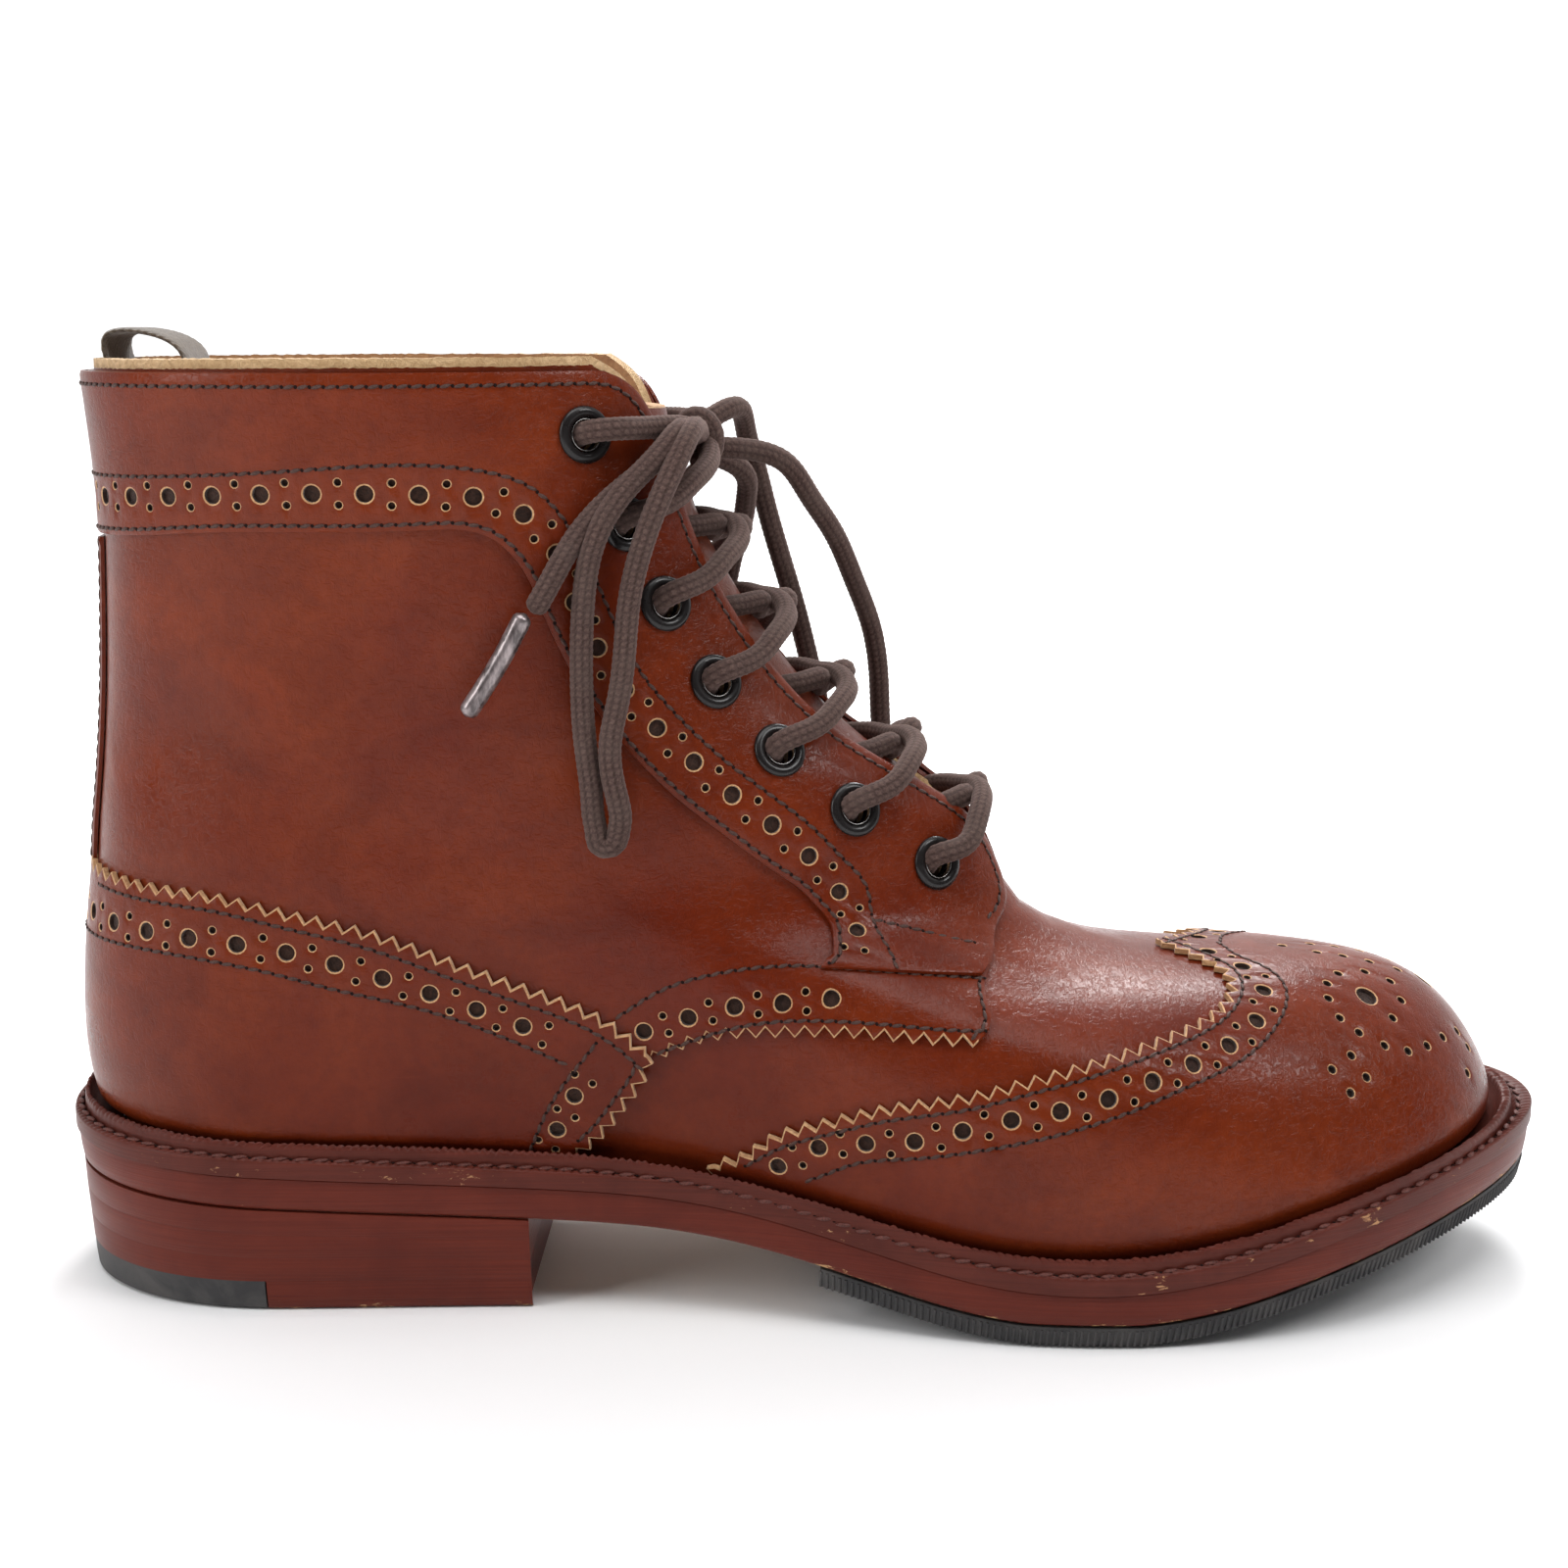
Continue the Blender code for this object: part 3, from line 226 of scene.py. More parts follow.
# Creases of wear, placed one by one. Columns: side, u and k of one end, u and k of the other end,
# width and depth in millimetres; a ridge has a negative depth.
CREASES = [(-1, 0.700, 0.432, 1.000, 0.462, 3.4, 0.55), (1, 0.700, 0.432, 1.000, 0.462, 3.4, 0.50),
           (-1, 0.740, 0.415, 1.000, 0.440, 3.0, -0.35), (1, 0.740, 0.415, 1.000, 0.440, 3.0, -0.35),
           (-1, 0.660, 0.372, 0.800, 0.418, 4.0, 0.40), (1, 0.660, 0.372, 0.800, 0.418, 4.0, 0.40),
           (-1, 0.480, 0.560, 0.640, 0.660, 8.0, 0.60), (1, 0.470, 0.560, 0.640, 0.660, 8.0, 0.60),
           (-1, 0.330, 0.520, 0.560, 0.505, 9.0, 0.55), (1, 0.330, 0.520, 0.560, 0.505, 9.0, 0.55),
           (-1, 0.120, 0.560, 0.300, 0.680, 9.0, 0.60), (1, 0.120, 0.560, 0.300, 0.680, 9.0, 0.60),
           (-1, 0.180, 0.700, 0.420, 0.640, 10.0, -0.50), (1, 0.180, 0.700, 0.420, 0.640, 10.0, -0.50),
           (-1, 0.640, 0.700, 0.800, 0.760, 3.0, 0.25), (-1, 0.660, 0.600, 0.800, 0.640, 3.0, 0.25),
           (-1, 0.700, 0.540, 0.840, 0.580, 3.0, 0.22), (1, 0.660, 0.650, 0.800, 0.700, 3.0, 0.25)]


def relief(u, k):
    """Soft troughs and ridges of the creases, with the slow waves of lasted leather."""
    s, side = fold(u)
    here = last(u, k)
    x, y, z = here[..., 0], here[..., 1], here[..., 2]
    depth = 0.00016 * np.sin(75.0 * x + 60.0 * z) * np.sin(90.0 * z - 40.0 * x + 50.0 * y)
    depth *= np.clip((k - 0.10) / 0.12, 0, 1)
    for of_side, u0, k0, u1, k1, width, deep in CREASES:
        a, b = last(of_side * u0, k0), last(of_side * u1, k1)
        along = b - a
        t = np.clip(((here - a) @ along) / (along @ along), 0, 1)
        near = np.linalg.norm(here - a - t[..., None] * along, axis=-1) / (width / 1000)
        if u1 < 0.99:
            fade = np.where(side == of_side, np.sin(np.pi * np.clip(t, 0, 1)) ** 0.7, 0.0)
        else:
            fade = np.clip(t * 3, 0, 1) * (1 - 0.5 * np.clip(t * 8 - 7, 0, 1))
        depth -= fade * deep / 1000 * np.exp(-near ** 2)
    return depth


def proud(u, k, off=0.0):
    """The last's surface moved out along its normal, without the creases."""
    u, k = np.broadcast_arrays(np.asarray(u, float), np.asarray(k, float))
    return last(u, k) + normal(u, k) * np.asarray(off, float)[..., None]


def skin(u, k, off=0.0):
    """The lasted and creased surface moved out along its normal."""
    u, k = np.broadcast_arrays(np.asarray(u, float), np.asarray(k, float))
    return proud(u, k, np.asarray(off, float) + relief(u, k))


def nudge(places, move):
    """Chart places moved by short vectors that lie in the surface."""
    du, dk = chart_steps(places[:, 0], places[:, 1])
    a, b, c = (du * du).sum(1), (du * dk).sum(1), (dk * dk).sum(1)
    p, q = (du * move).sum(1), (dk * move).sum(1)
    det = a * c - b * b
    return places + np.stack([(c * p - b * q) / det, (a * q - b * p) / det], 1)


# Steps along a traced line: a row of stitches, the throat's cut edge, and a plain edge.
SEAM_STEP, CUT_STEP, EDGE_STEP = 0.0006, 0.0012, 0.0025


def trace(table, step):
    """Places at even steps along the smooth line through a table of (u, k) places."""
    table = np.array(table, float)
    gaps = np.linalg.norm(np.diff(last(table[:, 0], table[:, 1]), axis=0), axis=1)
    run = np.concatenate([[0], np.cumsum(np.maximum(gaps, 1e-5))])
    fine = spline(run, table)(np.linspace(0, run[-1], 24 * len(table)))
    gaps = np.linalg.norm(np.diff(last(fine[:, 0], fine[:, 1]), axis=0), axis=1)
    run = np.concatenate([[0], np.cumsum(gaps)])
    count = max(2, int(round(run[-1] / step)))
    at = np.linspace(0, run[-1], count + 1)
    return np.stack([np.interp(at, run, fine[:, i]) for i in (0, 1)], 1)


def beside(line, distance):
    """A line of places moved sideways, to its right as seen on the chart with u to the right."""
    across = np.cross(normal(line[:, 0], line[:, 1]),
                      np.gradient(last(line[:, 0], line[:, 1]), axis=0))
    return nudge(line, unit(across) * np.broadcast_to(distance, len(line))[:, None])


def ring_at(place, radius, sides):
    """Places on a small circle round a place."""
    u, k = (np.array([v], float) for v in place)
    n = normal(u, k)[0]
    e1 = unit(np.cross(n, np.array([0.0, 0.0, 1.0])))
    e2 = np.cross(n, e1)
    turn = np.arange(sides) * math.tau / sides
    move = radius * (np.cos(turn)[:, None] * e1 + np.sin(turn)[:, None] * e2)
    return nudge(np.repeat([[u[0], k[0]]], sides, axis=0), move)


def inside(points, polygon):
    """Which points lie in a closed polygon of the chart."""
    x0, y0 = polygon.T
    x1, y1 = np.roll(polygon, -1, axis=0).T
    odd = np.zeros(len(points), bool)
    for first in range(0, len(points), 4000):
        x, y = points[first:first + 4000].T[:, :, None]
        hit = ((y0 > y) != (y1 > y)) & (x < (x1 - x0) * (y - y0) / (y1 - y0 + 1e-30) + x0)
        odd[first:first + 4000] = hit.sum(1) % 2 == 1
    return odd


def finish_mesh(name, verts, faces, materials, slots=None, angle=45):
    """A mesh object with its materials, its faces shaded smooth up to an angle."""
    mesh = bpy.data.meshes.new(name)
    mesh.from_pydata([tuple(v) for v in verts], [], faces)
    for mat in materials:
        mesh.materials.append(mat)
    if slots is not None:
        mesh.polygons.foreach_set('material_index', np.asarray(slots, np.int32))
    mesh.shade_smooth()
    mesh.set_sharp_from_angle(angle=math.radians(angle))
    mesh.update()
    obj = bpy.data.objects.new(name, mesh)
    bpy.context.scene.collection.objects.link(obj)
    return obj


CHART_MM = np.array([360.0, 165.0])
BIG_HOLE = 0.00162
SMALL_HOLE = 0.00072
STITCH = 0.0026


def nearest_place(flat, place_of, p):
    """The number of the vertex at a place of the chart."""
    found = place_of.get((round(p[0], 7), round(p[1], 7)))
    return found if found is not None else int(np.argmin((((flat - p) * CHART_MM) ** 2).sum(1)))


def leather_piece(name, edges, low, high, materials, holes=(), grain=0.0026, raw=0.00042,
                  under=0):
    """A cut leather piece, closed on all sides.

    edges: runs of places that follow each other anticlockwise round the piece, each with a word
    for its cut: 'raw' shows the pale cut, 'dyed' doesn't, 'seam' is sewn edge to edge and has no
    cut at all. A gimped run is a pair, the cut and the line beside it. holes: (u, k, radius); the
    small ones get walls and a floor near the bottom in near-black, painted shade.
    """
    cuts = [(run[0] if isinstance(run, tuple) else run) for run, word in edges]
    loop = np.vstack([cut[:-1] for cut in cuts])
    words = {'dyed': 1, 'raw': 2, 'seam': 7}
    points, mark = [loop], [np.concatenate([np.full(len(cut) - 1, words[word])
                                            for cut, (run, word) in zip(cuts, edges)])]
    lines = [(i, (i + 1) % len(loop)) for i in range(len(loop))]
    count = len(loop)

    def line_in(line, kind, closed=False):
        nonlocal count
        points.append(line)
        mark.append(np.full(len(line), kind))
        lines.extend((count + i, count + (i + 1) % len(line))
                     for i in range(len(line) if closed else len(line) - 1))
        count += len(line)
    for cut, (run, word) in zip(cuts, edges):
        if word == 'seam':
            continue
        line = run[1] if isinstance(run, tuple) else beside(run, -raw if word == 'raw' else -0.0007)
        line = line[inside(line, loop)]
        if len(line) > 2:
            line_in(line, 4 if word == 'raw' else 5)
    rims = []
    for u, k, radius in holes:
        sides = 16 if radius > 0.001 else 10
        rims.append((ring_at((u, k), radius, sides), radius > 0.003))
        line_in(rims[-1][0], 8 if radius > 0.003 else 3, True)
        line_in(ring_at((u, k), radius + (0.00030 if radius > 0.001 else 0.00020), sides), 6, True)
    fixed = np.vstack(points)
    tree = KDTree(len(fixed))
    for i, p in enumerate(fixed * CHART_MM):
        tree.insert((p[0], p[1], 0), i)
    tree.balance()
    step = grain * 1000 / CHART_MM
    us = np.arange(loop[:, 0].min(), loop[:, 0].max(), step[0])
    ks = np.arange(loop[:, 1].min(), loop[:, 1].max(), step[1])
    grid = np.array([(a + (j % 2) * step[0] / 2, b) for j, b in enumerate(ks) for a in us])
    grid = grid[inside(grid, loop)]
    far = [tree.find((p[0], p[1], 0))[2] > grain * 430 for p in grid * CHART_MM]
    points.append(grid[np.array(far, bool)])
    mark.append(np.zeros(len(points[-1]), int))
    every, marks = np.vstack(points), np.concatenate(mark)
    result = delaunay_2d_cdt([Vector(p) for p in every * CHART_MM], lines, [], 1, 1e-5)
    flat = np.array([v[:] for v in result[0]]) / CHART_MM
    kind = np.array([max((marks[i] for i in ids), default=0) for ids in result[3]])
    tris = np.array([f for f in result[2] if len(f) == 3])
    middle = flat[tris].mean(1)
    keep = inside(middle, loop)
    floor_keep = keep.copy()
    for ring, through in rims:
        near = np.abs((middle - ring.mean(0)) * CHART_MM).max(1) < 8.0
        index = np.where(near)[0]
        index = index[inside(middle[index], ring)]
        keep[index] = False
        if through:
            floor_keep[index] = False
    used = np.unique(tris[floor_keep])
    renumber = np.full(len(flat), -1)
    renumber[used] = np.arange(len(used))
    low_tris = renumber[tris[floor_keep]][:, ::-1]
    flat, kind, tris = flat[used], kind[used], renumber[tris[keep]][:, ::-1]
    drop = np.select([kind == 1, kind == 2, (kind == 3) | (kind == 8), kind == 5],
                     [0.00035, 0.00015, 0.00014, 0.00005], 0.0)
    top = skin(flat[:, 0], flat[:, 1], high - np.minimum(drop, (high - low) * 0.5))
    bottom = skin(flat[:, 0], flat[:, 1], low + 0 * flat[:, 0])
    n = len(flat)
    sides = {(t[i], t[(i + 1) % 3]) for t in tris.tolist() for i in range(3)}
    faces = [tuple(t) for t in tris.tolist()]
    faces += [(a + n, c + n, b + n) for a, b, c in low_tris.tolist()]
    pale_zone = np.isin(kind, (2, 3, 4, 6, 8))[tris].all(1) & np.isin(kind, (2, 3, 8))[tris].any(1)
    slots = pale_zone.astype(int).tolist() + [under] * len(low_tris)
    verts = [top, bottom]
    count = 2 * n
    place_of = {(round(a, 7), round(b, 7)): i for i, (a, b) in enumerate(flat.tolist())}
    for a, b in sides:
        if (b, a) in sides or (kind[a] == 7 and kind[b] == 7) or (kind[a] == 3 and kind[b] == 3):
            continue
        faces.append((b, a, a + n, b + n))
        slots.append(1 if kind[a] in (2, 8) and kind[b] in (2, 8) else 0)
    # Each small hole gets walls and a floor near the bottom in the near-black material: painted shade.
    painted_shade_slot = len(materials)
    for ring, through in rims:
        if through:
            continue
        ids = [nearest_place(flat, place_of, p) for p in ring]
        middle_of = flat[ids].mean(0)
        turn_of = np.argsort(np.arctan2(*((flat[ids] - middle_of) * CHART_MM).T[::-1]))
        ids = [ids[i] for i in turn_of]
        verts.append(skin(flat[ids, 0], flat[ids, 1], low + 0.00010 + 0 * flat[ids, 0]))
        for i, a in enumerate(ids):
            j = (i + 1) % len(ids)
            faces.append((a, ids[j], count + j, count + i))
            slots.append(painted_shade_slot)
        faces.append(tuple(range(count, count + len(ids)))[::-1])
        slots.append(painted_shade_slot)
        count += len(ids)
    return finish_mesh(name, np.vstack(verts), faces, materials + [HOLE_PAINTED_SHADE], slots, 52)


def mirrored(edges):
    """The same runs on the other side of the boot, still anticlockwise."""
    flip = np.array([-1.0, 1.0])
    return [(tuple((line * flip)[::-1] for line in run) if isinstance(run, tuple) else
             (run * flip)[::-1], word) for run, word in reversed(edges)]


def new_material(name, colour, roughness, **sockets):
    """A material with constants on its own shader, and its node tree."""
    mat = bpy.data.materials.new(name)
    mat.use_nodes = True
    shader = mat.node_tree.nodes['Principled BSDF']
    shader.inputs['Base Color'].default_value = (*colour, 1)
    shader.inputs['Roughness'].default_value = roughness
    for socket, value in sockets.items():
        shader.inputs[socket.replace('_', ' ')].default_value = value
    return mat, mat.node_tree, shader


def node(tree, kind, inputs=(), **settings):
    """A node whose inputs are linked where a socket is given and set where a value is."""
    made = tree.nodes.new(kind)
    for key, value in settings.items():
        setattr(made, key, value)
    for key, value in dict(inputs).items():
        if isinstance(value, bpy.types.NodeSocket):
            tree.links.new(value, made.inputs[key])
        else:
            made.inputs[key].default_value = value
    return made


def noise(tree, place, scale, detail=3.0, rough=0.55, distort=0.0, stretch=(1, 1, 1), turn=0.0):
    moved = node(tree, 'ShaderNodeMapping', {'Vector': place, 'Scale': stretch,
                                             'Rotation': (0.0, turn, 0.0)})
    return node(tree, 'ShaderNodeTexNoise', {'Vector': moved.outputs[0], 'Scale': scale,
                                             'Detail': detail, 'Roughness': rough,
                                             'Distortion': distort}).outputs['Fac']


def between(tree, value, low, high, to_low=0.0, to_high=1.0):
    return node(tree, 'ShaderNodeMapRange', {'Value': value, 'From Min': low, 'From Max': high,
                                             'To Min': to_low, 'To Max': to_high}).outputs[0]


def blend(tree, factor, first, second):
    made = node(tree, 'ShaderNodeMix', data_type='RGBA')
    tree.links.new(factor, made.inputs['Factor'])
    for slot_name, value in (('A', first), ('B', second)):
        socket = [s for s in made.inputs if s.name == slot_name and s.type == 'RGBA'][0]
        if isinstance(value, bpy.types.NodeSocket):
            tree.links.new(value, socket)
        else:
            socket.default_value = (*value, 1)
    return [s for s in made.outputs if s.type == 'RGBA'][0]


def bump(tree, height, distance, after=None, strength=1.0):
    inputs = {'Height': height, 'Distance': distance, 'Strength': strength}
    if after is not None:
        inputs['Normal'] = after
    return node(tree, 'ShaderNodeBump', inputs).outputs[0]


def smooth_leather(name, mid, dark, light, seed=0.0, shine=0.30):
    """Waxed calf: cloudy dye, darker smudges, fine crossed wrinkles, pores and a few scratches."""
    mat, tree, shader = new_material(name, mid, shine, Coat_Weight=0.26, Coat_Roughness=0.13,
                                     Specular_IOR_Level=0.05)
    place = node(tree, 'ShaderNodeMapping', {
        'Vector': node(tree, 'ShaderNodeTexCoord').outputs['Object'],
        'Location': (seed, 0.7 * seed, 0.0)}).outputs[0]
    cloud = noise(tree, place, 17.0, 4.0, 0.55, 0.6)
    smudge = noise(tree, place, 33.0, 3.0, 0.6, 1.2, (1.0, 1.0, 1.5))
    mottle = noise(tree, place, 420.0, 4.0, 0.7)
    colour = blend(tree, between(tree, cloud, 0.36, 0.66), mid, light)
    colour = blend(tree, between(tree, smudge, 0.42, 0.78, 0.0, 0.55), colour, dark)
    colour = blend(tree, between(tree, mottle, 0.40, 0.70, 0.0, 0.30), colour, dark)
    streak = noise(tree, place, 60.0, 2.0, 0.5, 0.3, (1.0, 1.0, 14.0), 0.5)
    patch = noise(tree, place, 21.0, 1.0)
    scratch = node(tree, 'ShaderNodeMath', {0: between(tree, streak, 0.735, 0.76),
                                            1: between(tree, patch, 0.55, 0.62)},
                   operation='MULTIPLY').outputs[0]
    colour = blend(tree, between(tree, scratch, 0.0, 1.0, 0.0, 0.45), colour, light)
    tree.links.new(colour, shader.inputs['Base Color'])
    folds = noise(tree, place, 520.0, 5.0, 0.6, 0.8, (1.0, 1.0, 2.4), 0.6)
    crossed = noise(tree, place, 480.0, 5.0, 0.6, 0.8, (2.4, 1.0, 1.0), 0.3)
    both = node(tree, 'ShaderNodeMath', {0: folds, 1: crossed}, operation='MINIMUM').outputs[0]
    pore = node(tree, 'ShaderNodeTexVoronoi', {'Vector': place, 'Scale': 2100.0}).outputs[0]
    normal_in = bump(tree, between(tree, both, 0.30, 0.50), 0.00008, strength=0.6)
    normal_in = bump(tree, pore, 0.00002, normal_in, 0.35)
    tree.links.new(normal_in, shader.inputs['Normal'])
    tree.links.new(normal_in, shader.inputs['Coat Normal'])
    dull = noise(tree, place, 46.0, 3.0, 0.6, 0.5)
    rough = node(tree, 'ShaderNodeMath', {0: between(tree, dull, 0.3, 0.7, shine - 0.05, shine + 0.10),
                                          1: between(tree, both, 0.3, 0.5, 0.06, 0.0)},
                 operation='ADD').outputs[0]
    tree.links.new(rough, shader.inputs['Roughness'])
    return mat


CHESTNUT = smooth_leather('chestnut_leather', (0.116, 0.0135, 0.0034), (0.066, 0.0075, 0.0024),
                          (0.170, 0.0260, 0.0058))


def fibrous(name, pale, dark, scale=900.0, depth=0.00025, roughness=0.85):
    """Undyed leather: rough, fibrous and slightly soiled."""
    mat, tree, shader = new_material(name, pale, roughness, Specular_IOR_Level=0.25,
                                     Sheen_Weight=0.25)
    place = node(tree, 'ShaderNodeTexCoord').outputs['Object']
    fibre = noise(tree, place, scale, 5.0, 0.7, 1.0)
    soil = noise(tree, place, 60.0, 3.0)
    colour = blend(tree, between(tree, fibre, 0.35, 0.65), dark, pale)
    colour = blend(tree, between(tree, soil, 0.45, 0.75, 0.0, 0.6), colour, dark)
    tree.links.new(colour, shader.inputs['Base Color'])
    tree.links.new(bump(tree, fibre, depth), shader.inputs['Normal'])
    return mat


# Painted shade: near-black brown on the small holes' walls and floors, for the shade inside them.
HOLE_PAINTED_SHADE = fibrous('punched_hole_painted_shade', (0.060, 0.024, 0.014), (0.020, 0.009, 0.006))
PALE_CUT = fibrous('pale_cut_edge', (0.62, 0.38, 0.19), (0.36, 0.18, 0.08))
LINING = fibrous('lining_leather', (0.50, 0.28, 0.13), (0.33, 0.16, 0.07), 500.0, 0.0001, 0.6)
RAW_LINING = fibrous('raw_lining_edge', (0.68, 0.47, 0.26), (0.42, 0.26, 0.12), 700.0, 0.0004)

THROAT = [(0.985, 0.499), (0.970, 0.505), (0.957, 0.515), (0.947, 0.530), (0.922, 0.553),
          (0.890, 0.581), (0.869, 0.613), (0.858, 0.645), (0.854, 0.680), (0.854, 0.760),
          (0.856, 0.810), (0.861, 0.860), (0.865, 0.895), (0.864, 0.932), (0.855, 0.962),
          (0.836, 0.982), (0.800, 0.995), (0.780, 1.000)]
# Centres of the eyelets, top pair first: share round, share of the way up.
EYELETS = [(0.735, 0.947), (0.753, 0.874), (0.753, 0.796), (0.750, 0.717), (0.750, 0.629),
           (0.766, 0.554), (0.824, 0.508)]
LACE_HOLE = 0.0033
lace_holes = [(side * s, k, LACE_HOLE) for side in (-1, 1) for s, k in EYELETS]
fibre_seed = np.random.default_rng(5)


FRAY = 0.00016


def frayed(line):
    """A torn edge: the line with small uneven steps."""
    push = fibre_seed.uniform(-FRAY, FRAY * 0.4, len(line))
    push[0] = push[-1] = 0.0
    return beside(line, push)


near_throat = [(-s, k) for s, k in THROAT]
far_throat = [(s - 2, k) for s, k in THROAT]
upper_edges = [(trace([(-2.0, 0.0), (-1.5, 0.0), (-1.0, 0.0), (-0.5, 0.0), (0.0, 0.0)], 0.003), 'dyed'),
               (trace([(0.0, 0.0), (0.0, 0.3), (0.0, 0.7), (0.0, 1.0)], 0.003), 'seam'),
               (frayed(trace([(0.0, 1.0), (-0.3, 1.0), (-0.6, 1.0), (-0.78, 1.0)], 0.0008)), 'raw'),
               (trace(near_throat[::-1], CUT_STEP), 'raw'),
               (trace([(-0.985, 0.499), (-1.0, 0.497), (-1.015, 0.499)], CUT_STEP), 'raw'),
               (trace(far_throat, CUT_STEP), 'raw'),
               (frayed(trace([(-1.22, 1.0), (-1.4, 1.0), (-1.7, 1.0), (-2.0, 1.0)], 0.0008)), 'raw'),
               (trace([(-2.0, 1.0), (-2.0, 0.7), (-2.0, 0.3), (-2.0, 0.0)], 0.003), 'seam')]
around = [(u, k, r) if u < 0 else (u - 2, k, r) for u, k, r in lace_holes]
upper = leather_piece('upper_leather_and_lining', upper_edges, -WALL, 0.0,
                      [CHESTNUT, RAW_LINING, LINING], around, 0.0030, 0.0017, under=2)
weld = bmesh.new()
weld.from_mesh(upper.data)
back = [v for v in weld.verts if abs(v.co.x - (last(0.0, 0.5)[0])) < 0.03 and abs(v.co.y) < 0.02]
bmesh.ops.remove_doubles(weld, verts=back, dist=0.00002)
weld.to_mesh(upper.data)
weld.free()
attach(upper, 'root')
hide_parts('upper')

# Quarters: one panel of calf each side of the ankle, laid on the vamp, closed at the back seam and
# sewn to it along the front. The low edge is gimped, with a brogued strip above it.
QUARTER_LOW = [(0.447, 0.214), (0.475, 0.252), (0.515, 0.280), (0.557, 0.300), (0.600, 0.311),
               (0.630, 0.318)]
QUARTER_FRONT = [(0.630, 0.318), (0.645, 0.333), (0.672, 0.365), (0.715, 0.402), (0.780, 0.435),
                 (0.840, 0.459), (0.890, 0.472), (0.928, 0.487), (0.943, 0.505), (0.940, 0.525),
                 (0.916, 0.550), (0.886, 0.578), (0.865, 0.612), (0.854, 0.645), (0.850, 0.680),
                 (0.850, 0.720), (0.850, 0.760), (0.852, 0.810), (0.857, 0.860), (0.861, 0.895),
                 (0.860, 0.930), (0.851, 0.958), (0.830, 0.978), (0.790, 0.990)]
STRIP_HOLES = [(0.4500, 0.2525), (0.4775, 0.2825), (0.5075, 0.3100), (0.5375, 0.3275),
               (0.5725, 0.3475)]
STRIP_UPPER_ROW = [(0.4425, 0.2725), (0.4750, 0.3200), (0.5150, 0.3575), (0.5700, 0.3900),
                   (0.6075, 0.3975), (0.7150, 0.4025)]
STRIP_LOWER_ROW = [(0.4530, 0.2250), (0.5030, 0.2825), (0.5700, 0.3175), (0.6420, 0.3310)]
GIMP_PITCH = 0.0038
GIMP_DEPTH = 0.00105


def lateral(table):
    return [(-s, k) for s, k in table]


def gimped(table):
    """A zigzag cut along a line, and the line just inside it."""
    line = trace(table, GIMP_PITCH / 4)
    tooth = GIMP_DEPTH * np.resize([0.0, 1.0, 0.0, -1.0], len(line))
    tooth[[0, -1]] = 0
    return beside(line, tooth), beside(line, tooth - 0.00040)


def brogue(table, pitch, across):
    """Large holes along a line at an even pitch, with a pair of small ones between each two."""
    line = trace(table, pitch / 2)
    holes = [(u, k, BIG_HOLE) for u, k in line[::2]]
    for hole in (beside(line, across), beside(line, -across)):
        holes += [(u, k, SMALL_HOLE) for u, k in hole[1::2]]
    return holes


strip_holes = brogue(lateral(STRIP_HOLES), 0.0096, 0.0018)
near_quarter = [
    (trace([(-0.400, 0.046), (-0.2, 0.046), (-0.0045, 0.046)], 0.003), 'dyed'),
    (trace([(-0.0045, 0.046), (-0.0045, 0.4), (-0.0045, 0.99)], 0.003), 'dyed'),
    (trace([(-0.0045, 0.990), (-0.3, 0.990), (-0.6, 0.990), (-0.790, 0.990)], EDGE_STEP), 'dyed'),
    (trace(lateral(QUARTER_FRONT)[::-1], 0.0016), 'dyed'),
    (gimped(lateral(QUARTER_LOW)[::-1]), 'raw'),
    (trace([(-0.447, 0.214), (-0.423, 0.160), (-0.400, 0.046)], 0.003), 'dyed')]
stitch_rows = {}


def sew(owner, off, *rows):
    """Rows of stitches for a piece: each a line of places, at an offset from the last."""
    stitch_rows.setdefault(owner, []).extend((row, off) for row in rows)


for side, word in ((-1, 'lateral'), (1, 'medial')):
    edges = near_quarter if side < 0 else mirrored(near_quarter)
    holes = [(u * -side, k, r) for u, k, r in strip_holes]
    holes += [h for h in lace_holes if h[0] * side > 0]
    quarter = leather_piece('quarter_' + word + '_leather', edges, GAP, QUARTER_TOP,
                            [CHESTNUT, PALE_CUT], holes, 0.0025)
    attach(quarter, 'root')
    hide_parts('quarter_' + word)
    turned = np.array([side, 1.0])
    front = trace(QUARTER_FRONT[:11], SEAM_STEP)
    sew('quarters', QUARTER_TOP, *(row * turned for row in (
        trace(STRIP_UPPER_ROW, SEAM_STEP), trace(STRIP_LOWER_ROW, SEAM_STEP),
        beside(front, -0.0012), beside(front, -0.0033)[30:-30])))

# Wing cap: calf over the toe with gimped wings along both sides, brogued along its edge and punched
# with a medallion on the toe, laid on the vamp and sewn with two rows.
WING_TOP = [(0.462, 0.058), (0.470, 0.082), (0.490, 0.135), (0.517, 0.175), (0.550, 0.212),
            (0.590, 0.243), (0.637, 0.275), (0.690, 0.297), (0.740, 0.310), (0.787, 0.322),
            (0.830, 0.340), (0.867, 0.357), (0.910, 0.377), (0.962, 0.397), (1.000, 0.407)]
WING_ROW = [(0.505, 0.092), (0.5250, 0.135), (0.5525, 0.1625), (0.5850, 0.1875), (0.6250, 0.2125),
            (0.6675, 0.2350), (0.7050, 0.2500), (0.7475, 0.2600), (0.7900, 0.2800),
            (0.8325, 0.3050), (0.8775, 0.3325), (0.9100, 0.3525), (0.9475, 0.3700), (1.0, 0.378)]
WING_HOLES = [(0.492, 0.100), (0.5075, 0.1375), (0.5475, 0.1750), (0.5950, 0.2175),
              (0.6475, 0.2450), (0.7025, 0.2675), (0.7525, 0.2800), (0.8000, 0.3010),
              (0.8400, 0.3250), (0.8975, 0.3575), (0.9625, 0.3850), (0.990, 0.3900)]
